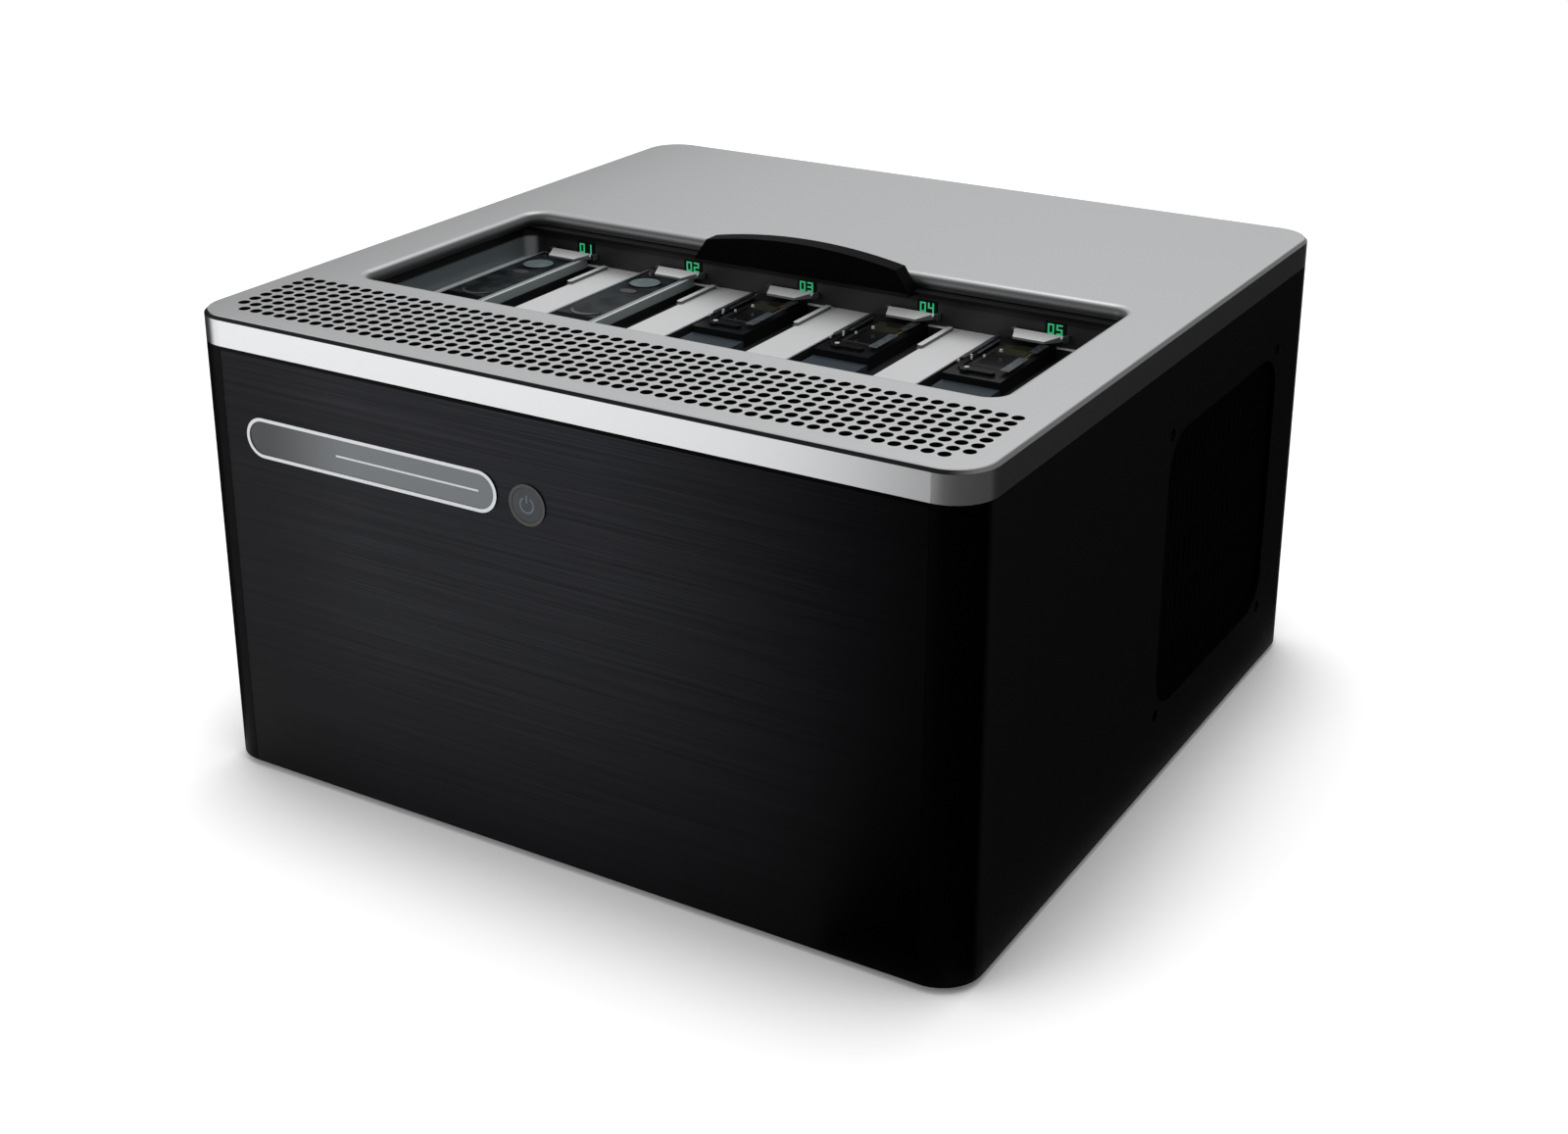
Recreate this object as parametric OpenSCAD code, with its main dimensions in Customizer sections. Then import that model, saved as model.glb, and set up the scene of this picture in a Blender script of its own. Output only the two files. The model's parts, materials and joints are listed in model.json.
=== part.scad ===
// Benchtop sequencer: a cube-like instrument with a sliding cover over five cell bays.
// +Z is up, the front faces -Y and +X is to the right of someone who faces the front.
// The origin is at the middle of the footprint, on the surface that the feet stand on.

/* [Housing] */
// Width of the housing
body_w = 370; // [350:1:400]
// Depth of the housing, front face to rear edge
body_d = 364.4; // [350:0.2:390]
// Height of the top surface above the bench
top_z = 211.5; // [205:0.5:235]
// Outer radius of the upright corners
corner_r = 18; // [14:0.5:24]
// Wall of the two side panels
shell_t = 2.5; // [2:0.1:3]
// Thickness of the front panel
front_t = 3; // [2.5:0.1:4]
// Thickness of the rear panel
rear_t = 2; // [1.5:0.1:2.5]
// How far the rear panel sits inside the rear edge
rear_recess = 3; // [2.6:0.1:4]
// Thickness of the base pan
base_t = 2; // [1.5:0.1:3]
// How far the badge rim and the button bezel stand out of the front face
front_proud = 0.6; // [0.4:0.1:1]
// Side of the square corner posts
post_w = 14; // [10:1:16]
// Seam between neighbouring panels
seam = 0.2; // [0.1:0.05:0.4]

/* [Feet] */
// Height of the rubber feet
feet_h = 3; // [2:0.5:6]
// Diameter of the rubber feet
feet_d = 24; // [16:1:30]
// Distance of each foot's centre from the two edges beside it
feet_inset = 36; // [26:1:60]

/* [Top cover] */
// Height of the bright band round the top
cover_h = 13; // [11:0.5:16]
// Thickness of the top plate
plate_t = 6; // [5:0.5:7]
// Thickness of the band
band_t = 4; // [3:0.5:5]
// Chamfer between the top and the band
edge_chamfer = 1.5; // [0.5:0.25:2.5]
// Width of the top plate beside the window
window_side = 29.5; // [27.5:0.5:32.5]
// Clear front edge of the window, behind the front face
window_front = 77.5; // [75:0.5:80]
// Clear depth of the window
window_d = 127.9; // [124:0.1:130]
// Corner radius of the window
window_r = 7.5; // [5:0.5:12]
// Radius of the rounded edge round the window
window_edge_r = 4; // [2:0.5:5]

/* [Air grille] */
// Holes in each row
grille_cols = 53; // [41:2:53]
// First and last hole's centre from the sides of the housing
grille_side = 13.4; // [13:0.1:16]
// Rows of holes
grille_rows = 8; // [5:1:8]
// Distance between rows of holes
grille_pitch = 6.6; // [6:0.1:6.6]
// Diameter of the holes
grille_hole_d = 5.1; // [3:0.1:5.6]
// Front row behind the front face
grille_front = 14.3; // [14:0.1:15]
// Margin of the grille round its outer holes
grille_margin = 2.8; // [2.5:0.1:3.5]
// Thickness of the grille
grille_t = 2.5; // [1.5:0.1:3]
// Width of the ledge under the grille's edge
grille_ledge = 2; // [1.5:0.1:2.4]

/* [Sliding cover] */
// Thickness of the sliding sheet
sheet_t = 1.8; // [1.5:0.1:2.2]
// Clearance above and below the sheet
sheet_gap = 0.3; // [0.2:0.05:0.4]
// Width by which the sheet reaches over the bay on each side
sheet_lap = 5; // [4:0.5:6]
// Sheet's rear end to the band at the rear, when open
sheet_clear = 37.4; // [31:0.1:39]
// Travel of the sheet from open to closed
cover_travel = 115; // [110:0.5:115.5]
// Front edge of the open sheet, ahead of the window's rear edge
sheet_show = 6.4; // [4:0.1:7]
// Width of the grip at its foot
grip_w = 112; // [80:1:130]
// Width of the grip at its top corners
grip_top_w = 99; // [70:1:105]
// Depth of the grip, front to rear
grip_d = 9; // [7:0.5:9.5]
// Gap between the grip and the window's rear edge
grip_gap = 2.4; // [1.5:0.1:3]
// Height of the grip's ends above the top surface
grip_end_h = 3.7; // [2:0.1:5]
// Height of the grip's crown above the top surface
grip_h = 8.5; // [7:0.1:12]
// Height of the rails' lower lips
lip_t = 2.5; // [2:0.1:3.5]
// Width of the rail outside the sheet
rail_w = 5.7; // [4:0.1:7]

/* [Bay tray] */
// Deck below the top surface
deck_drop = 22; // [21:0.5:26]
// Wall and floor of the tray
tray_t = 2; // [1.5:0.1:2.5]
// Clear width by which the tray is wider than the window on each side
tray_side = 4.5; // [3:0.5:5.5]
// How far the tray's rear wall stands ahead of the window's rear edge
tray_rear = 0.9; // [0.2:0.1:1.5]
// Lap of the closed sheet over the tray's front wall
seat_lap = 1.5; // [1:0.1:2]
// Corner radius inside the tray
tray_r = 8; // [5:0.5:10]
// Front ledge under the window's front edge
landing = 13.5; // [12:0.5:15]

/* [Cell bays] */
// Margin of the row of bays at each side of the window
bay_edge = 0.5; // [0:0.5:5]
// First slot to the left edge of the window
slot_side = 1; // [0.5:0.5:3]
// Width of a bay's slot in the deck
slot_w = 42; // [38:0.5:44]
// Depth of the slots, which is also the thickness of the deck
slot_deep = 5.5; // [5:0.5:6.5]
// Corner radius of the slots
slot_r = 1.5; // [1:0.1:3]
// Strip of deck behind the slots
slot_rear = 1.3; // [1:0.1:2]
// Lap of the docks under the deck round each slot
dock_wall = 2; // [1.5:0.1:3]
// Length of a cell
cell_l = 102; // [96:0.5:103]
// Width of a cell
cell_w = 26.5; // [22:0.5:28]
// Cell's middle left of the slot's middle
cell_shift = 4; // [2:0.5:5]
// Travel of a cell out from under its clip
cell_travel = 9.5; // [8:0.5:10]
// Play round a seated cell
cell_fit = 0.3; // [0.2:0.05:0.5]
// Top of a test cell above the deck
test_cell_rise = 3; // [2:0.1:3.1]
// Top of a flow cell above the deck
flow_cell_rise = 0.8; // [0:0.1:1.5]
// Thickness of a flow cell's flat front tab
flow_tab_t = 3; // [2:0.1:4]
// Length of a flow cell's raised block
flow_block_l = 56; // [50:1:70]
// Thickness of the label plates and sensor windows
inlay_t = 0.6; // [0.4:0.1:1]
// Width of a guide tab
guide_w = 2.6; // [2:0.1:5]
// Length of a guide tab
guide_l = 30; // [20:1:36]
// Height of a guide tab above the deck
guide_rise = 1.5; // [1:0.1:2.5]
// Width of a guide tab that lies on the deck
guide_lap = 1.2; // [1:0.1:2]

/* [Clips and port covers] */
// Width of a clip at its hinge
clip_w = 23; // [20:0.5:26]
// Width of a clip at its front edge
clip_tip_w = 14.8; // [12:0.1:20]
// Length of a clip, hinge axis to front edge
clip_l = 7; // [5:0.1:7.5]
// Thickness of a clip at its front edge
clip_t = 1; // [0.8:0.1:1.3]
// Radius of a clip's hinge barrel
clip_barrel_r = 1.3; // [0.9:0.05:1.4]
// Radius of the clip's pivot pins
clip_pin_r = 0.55; // [0.4:0.05:0.6]
// Radial play of small pins in their bores
pin_play = 0.08; // [0.05:0.01:0.1]
// Length of a port cover's arm
port_arm_l = 13; // [10:0.5:14]
// Radius of a port cover's round end
port_r = 3; // [2.5:0.1:3.5]
// Thickness of a port cover
port_t = 1.2; // [0.8:0.1:1.5]
// Radius of a port cover's pivot pin
port_pin_r = 1.2; // [1:0.1:1.5]

/* [Front badge and button] */
// Length of the badge
badge_l = 132.2; // [100:0.2:140]
// Height of the badge
badge_h = 18; // [12:0.5:22]
// Width of the badge's bright rim
badge_rim_w = 1.5; // [1:0.1:2.5]
// Depth of the pocket that holds the badge
badge_pocket = 1.2; // [0.8:0.1:1.6]
// Left end of the badge to the side of the housing
badge_side = 30; // [24:0.1:38]
// Centre of the badge below the top surface
badge_drop = 50; // [40:0.5:70]
// Diameter of the power button
button_d = 14.4; // [10:0.1:18]
// Wall of the bezel round the button
bezel_t = 1.4; // [1:0.1:2.5]
// Play between the button and its bezel
button_play = 0.15; // [0.1:0.05:0.3]
// Centre of the power button right of the badge's end
button_gap = 14.8; // [13:0.1:20]
// Centre of the button below the top surface
button_drop = 51; // [40:0.5:70]
// Travel of the button
button_travel = 1.5; // [1:0.1:2]

/* [Side vents] */
// Solid wall below the vent, from the bench
vent_foot = 37.2; // [34:0.1:50]
// Length of the vent opening
vent_l = 133; // [110:1:136]
// Corner radius of the vent opening
vent_r = 18; // [12:0.5:20]
// Gap between the vent plate and the rear corner post
vent_gap = 7; // [2:0.5:12]
// Top of the vent opening below the top surface
vent_drop = 46.3; // [40:0.5:50]
// Thickness of the vent plate
vent_t = 2; // [1.5:0.1:2.5]
// Border of the vent plate behind the side panel
vent_border = 7.5; // [6:0.5:8]
// Width of a vent slot
vent_slot_w = 2.6; // [2:0.1:3.5]
// Height of a slot as a share of the distance between rows
vent_open = 0.75; // [0.5:0.05:0.8]
// Distance from vent slot to vent slot
vent_pitch = 6; // [5:0.1:7]
// Diameter of the panel screws
screw_d = 5.2; // [4:0.1:5.6]
// Height of a screw head
screw_h = 1; // [0.8:0.1:1.2]

/* [Rear] */
// Outer size of a fan
fan_w = 80; // [70:1:82]
// Depth of a fan
fan_d = 25; // [20:1:32]
// Wall of a fan's frame at its narrowest
fan_wall = 2; // [1.5:0.1:3]
// Gap between the blades and the frame
fan_gap = 1.5; // [1:0.1:2.5]
// Radius of a fan's hub
fan_hub_r = 17; // [14:0.5:20]
// Outer fan to the corner post
fan_side = 6.5; // [3:0.5:8]
// Centre of the fans below the top surface
fan_drop = 81; // [76:1:84]
// Thickness of the wires in a fan guard
guard_wire = 1.6; // [1.2:0.1:2]
// Centre of the power inlet to the right corner post
inlet_side = 72.5; // [68:0.5:80]
// Centre of the power inlet above the bench
inlet_z = 96; // [92:1:110]
// Centre of the rocker switch right of the inlet
rocker_gap = 34; // [32:1:40]
// Tilt of the rocker switch to each side
rocker_tilt = 7; // [5:0.5:8]

/* [Electronics] */
// Gap between the mainboard and the left corner posts
board_left_gap = 2; // [1:0.5:10]
// Gap between the mainboard and the power supply
board_right_gap = 8; // [3:0.5:20]
// Depth of the mainboard
board_d = 236; // [210:1:240]
// Width of the power supply
psu_w = 100; // [86:1:120]
// Depth of the power supply
psu_d = 125; // [100:1:150]
// Height of the power supply
psu_h = 64; // [60:1:72]
// Gap between the power supply and the corner post
psu_gap = 2.5; // [1:0.5:6]
// Length of the graphics card
card_l = 204; // [160:1:206]
// Height of the graphics card's board
card_h = 104; // [90:1:112]
// Width of the heatsink as a share of the mainboard's width
sink_share = 0.375; // [0.3:0.005:0.4]
// Height of the heatsink's fins
sink_h = 50; // [30:1:70]
// Width of the drives
drive_w = 70; // [60:1:72]
// Length of the drives
drive_l = 100; // [90:1:105]
// Width of the flat cable
cable_w = 40; // [20:1:50]
// Height of the mainboard above the base pan
board_rise = 7; // [5:0.5:9]
// Thickness of the circuit boards
pcb_t = 1.6; // [1.2:0.1:2]
// Gap between the tray and the carrier board under it
carrier_gap = 6.4; // [5:0.1:9]

/* [Hidden] */
$fn = 72;
slip = 0.02;

// Planes of the housing
front_y = (front_proud - body_d) / 2;
rear_y = (front_proud + body_d) / 2;
mid_y = front_proud / 2;
shell_z0 = feet_h;
floor_z = shell_z0 + base_t;
cover_z0 = top_z - cover_h;
plate_z0 = top_z - plate_t;
panel_x = body_w / 2 - corner_r;
inner_x = body_w / 2 - shell_t;
rear_out_y = rear_y - rear_recess;
rear_in_y = rear_out_y - rear_t;

// Window, sheet and tray
window_w = body_w - 2 * window_side;
win_y0 = front_y + window_front;
win_y1 = win_y0 + window_d;
win_y = (win_y0 + win_y1) / 2;
sheet_z1 = plate_z0 - sheet_gap;
sheet_z0 = sheet_z1 - sheet_t;
lip_z1 = sheet_z0 - sheet_gap;
lip_z0 = lip_z1 - lip_t;
tray_x = window_w / 2 + tray_side;
sheet_x = tray_x + sheet_lap;
sheet_y0 = win_y1 - sheet_show;
grip_y1 = win_y1 - grip_gap;
grip_y0 = grip_y1 - grip_d;
tray_y1 = win_y1 - tray_rear;
tray_y0 = sheet_y0 - cover_travel + seat_lap;
landing_y0 = tray_y0 - landing;
flange_w = 3;
rail_x = sheet_x + sheet_gap;
rail_out_x = rail_x + rail_w;
sheet_l = rear_y - band_t - sheet_clear - sheet_y0;
rail_over = 18;
rail_y1 = sheet_y0 + sheet_l + rail_over;
stop_d = 5;

// Bays
bay_count = 5;
bay_pitch = (window_w - 2 * bay_edge) / bay_count;
bay_shift = (window_w - slot_w - (bay_count - 1) * bay_pitch) / 2 - slot_side;
deck_z = top_z - deck_drop;
slot_z = deck_z - slot_deep;
dock_t = 4;
tray_floor_z1 = slot_z - dock_t;
tray_z0 = tray_floor_z1 - tray_t;
slot_y1 = tray_y1 - slot_rear;
cell_y1 = slot_y1 - cell_fit;
cell_y0 = cell_y1 - cell_l;
slot_y0 = cell_y0 - cell_travel - cell_fit;
cell_z0 = slot_z + 0.2;
test_z = deck_z + test_cell_rise;
flow_z = deck_z + flow_cell_rise;
flow_tab_z = cell_z0 + flow_tab_t;
flow_block_y0 = cell_y1 - flow_block_l;
test_bays = [1, 2];
flow_bays = [3, 4, 5];
bays = [1, 2, 3, 4, 5];
label_ridge = 3.5;
label_edge = 1;
label_end = 5;
sensor_w = 15;
sensor_l = 32;
sensor_rear = 8;
port_x = -5.5;
port_inset = 7;
contact_w = 20;
contact_l = 12;
contact_front = 34;

// Clips, with their axis just ahead of the tray's rear wall
clip_gap = 0.3;
clip_axis_z = test_z + clip_gap + clip_barrel_r;
window_plate = [9.7, 0.5, 6];
clip_axis_y = tray_y1 - window_plate[1] - clip_gap - clip_barrel_r;
clip_mid = 1.1;
clip_skew = 1.9;
clip_ear_w = 1.5;

// Numbers beside the clips: stroke, height and width of one digit
digit_stroke = 0.7;
digit_h = 4.6;
digit_w = 2.9;
digit_space = 1.1;
digit_relief = 0.25;
number_x = 7.9;
number_z = clip_axis_z + clip_barrel_r + digit_h / 2 - 0.4;

// Front
badge_x = body_w / 2 - badge_side - badge_l / 2;
button_x = badge_x - badge_l / 2 - button_gap;
badge_z = top_z - badge_drop;
button_z = top_z - button_drop;
bezel_r = button_d / 2 + button_play + bezel_t;
bezel_depth = front_t + 3;
cap_back = front_t + 0.5;
stem_r = 2.5;
stem_l = 5.5;
switch_l = 10;

// Side vents
vent_h = top_z - vent_drop - vent_foot;
vent_z = top_z - vent_drop - vent_h / 2;
vent_y = rear_y - corner_r - post_w - vent_gap - vent_border - vent_l / 2;
vent_cols = floor((vent_l - 2 * vent_border) / vent_pitch);
vent_rows = 5;
vent_row_pitch = (vent_h - 8) / vent_rows;
vent_slot_h = vent_row_pitch * vent_open;
screw_in = 1.4;

// Rear
post_x = inner_x - post_w;
fan_x = post_x - fan_side - fan_w / 2;
inlet_x = post_x - inlet_side;
fan_z = top_z - fan_drop;
fan_step = fan_w + 5;
fan_bore_r = fan_w / 2 - fan_wall;
blade_r = fan_bore_r - fan_gap;
fan_y = rear_in_y;
fan_shaft_r = 1.5;
fan_base_t = 4;
hub_gap = 0.5;
guard_h = 2;
blades = 7;
inlet_size = [27.5, 21, 20];
inlet_mouth = [24.5, 16.5, 17];
inlet_flange = [33, 26];
flange_t = 1.5;
rocker_x = inlet_x + rocker_gap;
rocker_size = [12, 11, 18];
rocker_mouth = [13, 21];
rocker_wall = 1.5;
rocker_pivot_y = rear_out_y - 4.3;
rocker_pin_r = 1;
rocker_front = 6;

// Electronics
psu_x1 = post_x - psu_gap;
board_x = post_x - board_left_gap;
board_w = board_x + psu_x1 - psu_w - board_right_gap;
sink_w = board_w * sink_share;
cpu_in = board_w * 0.138;
cpu_y = 129;
cpu_w = sink_w / 2;
cpu_t = 3;
card_in = 48;
card_x = board_w - board_x - card_in;
drive_in = 16;
drive_front = 31;
card_back = 68;
card_slot_w = 7.6;
card_slot_l = 92;
card_slot_h = 9;
board_z = floor_z + board_rise;
board_top = board_z + pcb_t;
board_y1 = rear_in_y - 1;
carrier_z = tray_z0 - carrier_gap;
port_y1 = rear_y - 2;
port_l = 18;
port_fit = 0.4;
port_floor = 3;
// Sockets along the board's rear edge: centre from the board's left edge, width, height, then the
// mouth's width and height
sockets = [
    [20.5, 17, 14, 12.4, 9],
    [41.5, 17, 14, 12.4, 9],
    [62.5, 15, 8, 12.8, 5.4],
    [81.5, 15, 8, 12.8, 5.4],
    [100.5, 18, 8, 15, 5.4]
];

// Plan shapes

module rounded_rect(w, d, r) {
    square([w - 2 * r, d], center = true);
    square([w, d - 2 * r], center = true);
    for (sx = [-1, 1], sy = [-1, 1])
        translate([sx * (w / 2 - r), sy * (d / 2 - r)])
            circle(r);
}

module rounded_slab(w, d, h, r) {
    linear_extrude(h)
        rounded_rect(w, d, r);
}

// A slab whose upper edge is cut at 45 degrees all round
module chamfered_slab(w, d, h, r, c) {
    rounded_slab(w, d, h - c, r);
    translate([0, 0, h - c]) {
        for (sx = [-1, 1], sy = [-1, 1])
            translate([sx * (w / 2 - r), sy * (d / 2 - r), 0])
                cylinder(h = c, r1 = r, r2 = r - c);
        rotate([90, 0, 0])
            translate([0, 0, -(d / 2 - r)])
                linear_extrude(d - 2 * r)
                    chamfer_section(w, c);
        rotate([90, 0, 90])
            translate([0, 0, -(w / 2 - r)])
                linear_extrude(w - 2 * r)
                    chamfer_section(d, c);
    }
}

module chamfer_section(w, c) {
    polygon([[-w / 2, 0], [w / 2, 0], [w / 2 - c, c], [c - w / 2, c]]);
}

// What a rounded edge takes away round the rim of a hole: u runs outwards, v up to the surface
module edge_section(r) {
    difference() {
        translate([0, -r])
            square([r, r + 1]);
        translate([r, -r])
            circle(r);
    }
}

module edge_cutter(w, d, rc, r) {
    for (turn = [0, 180])
        rotate([0, 0, turn]) {
            translate([w / 2, d / 2 - rc, 0])
                rotate([90, 0, 0])
                    linear_extrude(d - 2 * rc)
                        edge_section(r);
            translate([w / 2 - rc, d / 2 - rc, 0])
                rotate_extrude(angle = 90)
                    translate([rc, 0])
                        edge_section(r);
        }
    for (turn = [90, 270])
        rotate([0, 0, turn]) {
            translate([d / 2, w / 2 - rc, 0])
                rotate([90, 0, 0])
                    linear_extrude(w - 2 * rc)
                        edge_section(r);
            translate([d / 2 - rc, w / 2 - rc, 0])
                rotate_extrude(angle = 90)
                    translate([rc, 0])
                        edge_section(r);
        }
}

module stadium(l, h) {
    square([l - h, h], center = true);
    for (side = [-1, 1])
        translate([side * (l - h) / 2, 0])
            circle(h / 2);
}

// Turns a flat shape upright, facing the front, with its outer face at y
module upright(y, t) {
    translate([0, y + t, 0])
        rotate([90, 0, 0])
            linear_extrude(t)
                children();
}

function bay_x(i) = (i - 3) * bay_pitch - bay_shift;

// Housing

module base_pan() {
    color("#1b1c1f")
        translate([0, mid_y, shell_z0])
            rounded_slab(body_w - 2 * shell_t - 2 * seam, body_d - 2 * front_t - 2 * seam, base_t,
                corner_r - front_t - seam);
}

module feet() {
    color("#151515")
        for (sx = [-1, 1], sy = [-1, 1])
            translate([sx * (body_w / 2 - feet_inset), mid_y + sy * (body_d / 2 - feet_inset), 0])
                cylinder(h = feet_h, d = feet_d);
}

module corner_posts() {
    color("#8d9094")
        for (sx = [-1, 1], sy = [-1, 1])
            translate([sx * (inner_x - post_w / 2), mid_y + sy * (body_d / 2 - corner_r - post_w / 2), floor_z])
                translate([-post_w / 2, -post_w / 2, 0])
                    cube([post_w, post_w, cover_z0 - floor_z]);
}

module front_panel() {
    color("#101114")
        difference() {
            translate([seam - panel_x, front_y, shell_z0])
                cube([2 * (panel_x - seam), front_t, cover_z0 - shell_z0]);
            translate([-badge_x, 0, badge_z])
                upright(front_y - 1, 1 + badge_pocket)
                    stadium(badge_l, badge_h);
            translate([-button_x, 0, button_z])
                upright(front_y - 1, front_t + 2)
                    circle(bezel_r);
        }
}

// Side walls with half of the front and rear corners; side is -1 for the left one
module side_panel(side) {
    color("#0e0f11")
        difference() {
            translate([0, mid_y, shell_z0])
                rounded_slab(body_w, body_d, cover_z0 - shell_z0, corner_r);
            translate([0, mid_y, shell_z0 - 1])
                rounded_slab(body_w - 2 * shell_t, body_d - 2 * shell_t, cover_z0 - shell_z0 + 2,
                    corner_r - shell_t);
            translate([side > 0 ? -body_w : -panel_x, front_y - 1, shell_z0 - 1])
                cube([body_w + panel_x, body_d + 2, cover_z0 - shell_z0 + 2]);
            translate([side * body_w / 2, vent_y, vent_z])
                rotate([90, 0, 90])
                    translate([0, 0, -2 * shell_t])
                        rounded_slab(vent_l, vent_h, 4 * shell_t, vent_r);
            side_screws(side, screw_d / 2 + 0.1, screw_in, 1);
        }
}

// Screw heads, or their pockets, beside the corners of a vent
module side_screws(side, r, deep, over) {
    for (sy = [-1, 1], sz = [-1, 1])
        translate([side * (body_w / 2 - deep), vent_y + sy * (vent_l / 2 - screw_in),
            vent_z + sz * (vent_h / 2 + screw_in)])
            rotate([0, side * 90, 0])
                cylinder(h = deep + over, r = r);
}

module side_vent(side) {
    color("#141518")
        translate([side > 0 ? inner_x - vent_t : -inner_x, vent_y, vent_z])
            rotate([90, 0, 90])
                difference() {
                    rounded_slab(vent_l + 2 * vent_border, vent_h + 2 * vent_border, vent_t, vent_border);
                    for (c = [0 : vent_cols - 1], r = [0 : vent_rows - 1])
                        translate([(c - (vent_cols - 1) / 2) * vent_pitch,
                            (r - (vent_rows - 1) / 2) * vent_row_pitch, -1])
                            rotate([0, 0, 90])
                                linear_extrude(vent_t + 2)
                                    stadium(vent_slot_h, vent_slot_w);
                }
}

module case_screws() {
    color("#2b2c2f") {
        side_screws(-1, screw_d / 2, screw_in, -0.2);
        side_screws(1, screw_d / 2, screw_in, -0.2);
        for (sx = [-1, 1], z = [floor_z + 10, (floor_z + cover_z0) / 2, cover_z0 - 10])
            translate([sx * (panel_x - 8), rear_out_y + screw_h, z])
                rotate([90, 0, 0])
                    cylinder(h = screw_h, d = screw_d);
    }
}

module rear_panel() {
    color("#15161a")
        difference() {
            translate([-panel_x - 3, rear_in_y, floor_z])
                cube([2 * panel_x + 6, rear_t, cover_z0 - floor_z]);
            for (i = [0, 1])
                translate([i * fan_step - fan_x, rear_in_y - 1, fan_z])
                    rotate([-90, 0, 0])
                        cylinder(h = rear_t + 2, r = fan_bore_r);
            for (s = sockets)
                translate([s[0] - board_x - s[1] / 2 - port_fit, rear_in_y - 1, board_top - port_fit])
                    cube([s[1] + 2 * port_fit, rear_t + 2, s[2] + 2 * port_fit]);
            translate([inlet_x, rear_in_y - 1, inlet_z])
                centred_block([inlet_size[0] + 2 * port_fit, rear_t + 2, inlet_size[1] + 2 * port_fit]);
            translate([rocker_x, rear_in_y - 1, inlet_z])
                centred_block([rocker_mouth[0] + 2 * rocker_wall + 2 * port_fit, rear_t + 2,
                    rocker_mouth[1] + 2 * rocker_wall + 2 * port_fit]);
        }
}

// A block centred on x and z that starts at y = 0
module centred_block(size) {
    translate([-size[0] / 2, 0, -size[2] / 2])
        cube(size);
}

// Top

grille_step = (body_w - 2 * grille_side) / (grille_cols - 1);
grille_l = (grille_cols - 1) * grille_step + grille_hole_d + 2 * grille_margin;
grille_d = (grille_rows - 1) * grille_pitch + grille_hole_d + 2 * grille_margin;
grille_y = front_y + grille_front + (grille_rows - 1) * grille_pitch / 2;
grille_r = 6;

module top_cover() {
    color("#a9abad")
        difference() {
            translate([0, mid_y, cover_z0])
                chamfered_slab(body_w, body_d, cover_h, corner_r, edge_chamfer);
            translate([0, mid_y, cover_z0 - 1])
                rounded_slab(body_w - 2 * band_t, body_d - 2 * band_t, cover_h - plate_t + 1, corner_r - band_t);
            translate([0, win_y, plate_z0 - 1])
                rounded_slab(window_w, window_d, plate_t + 2, window_r);
            translate([0, win_y, top_z])
                edge_cutter(window_w, window_d, window_r, window_edge_r);
            translate([0, grille_y, top_z - grille_t])
                rounded_slab(grille_l, grille_d, grille_t + 1, grille_r);
            translate([0, grille_y, plate_z0 - 1])
                rounded_slab(grille_l - 2 * grille_ledge, grille_d - 2 * grille_ledge, plate_t + 1,
                    grille_r - grille_ledge);
        }
}

module air_grille() {
    color("#a9abad")
        translate([0, grille_y, top_z - grille_t])
            linear_extrude(grille_t)
                difference() {
                    rounded_rect(grille_l - 2 * slip, grille_d - 2 * slip, grille_r - slip);
                    for (c = [0 : grille_cols - 1], r = [0 : grille_rows - 1])
                        if (r > 0 || (c > 0 && c < grille_cols - 1))
                            translate([(c - (grille_cols - 1) / 2) * grille_step,
                                (r - (grille_rows - 1) / 2) * grille_pitch])
                                circle(d = grille_hole_d, $fn = 24);
                }
}

// Rails beside the sheet, with the stop strip ahead of it
module cover_rails() {
    color("#202226")
        for (side = [-1, 1]) {
            rail_bar(side, rail_x, rail_out_x, lip_z1, plate_z0);
            rail_bar(side, tray_x + flange_w, rail_out_x, lip_z0, lip_z1);
        }
    color("#202226")
        translate([-rail_x, landing_y0, lip_z1])
            cube([2 * rail_x, stop_d, plate_z0 - lip_z1]);
}

module rail_bar(side, x0, x1, z0, z1) {
    translate([side > 0 ? x0 : -x1, landing_y0, z0])
        cube([x1 - x0, rail_y1 - landing_y0, z1 - z0]);
}

module cover_sheet() {
    color("#0c0d0f")
        translate([0, 0, sheet_z0])
            linear_extrude(sheet_t) {
                translate([-sheet_x, sheet_y0])
                    square([2 * sheet_x, sheet_l]);
                translate([-grip_w / 2, grip_y0])
                    square([grip_w, sheet_y0 - grip_y0 + 1]);
            }
}

// Outline of the grip seen from the front: a foot with leaning ends under a low arch
module grip_outline() {
    foot_z = sheet_z1;
    end_z = top_z + grip_end_h;
    rise = grip_h - grip_end_h;
    arch_r = (pow(grip_top_w / 2, 2) + pow(rise, 2)) / (2 * rise);
    intersection() {
        polygon([[-grip_w / 2, foot_z], [grip_w / 2, foot_z], [grip_top_w / 2, end_z],
            [grip_top_w / 2, top_z + grip_h + 1], [-grip_top_w / 2, top_z + grip_h + 1],
            [-grip_top_w / 2, end_z]]);
        translate([0, top_z + grip_h - arch_r])
            circle(arch_r, $fn = 360);
    }
}

module cover_grip() {
    color("#0a0a0b")
        upright(grip_y0, grip_d)
            grip_outline();
}

// Bay tray, deck and docks

tray_d = tray_y1 - tray_y0;
tray_mid = (tray_y0 + tray_y1) / 2;

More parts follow.
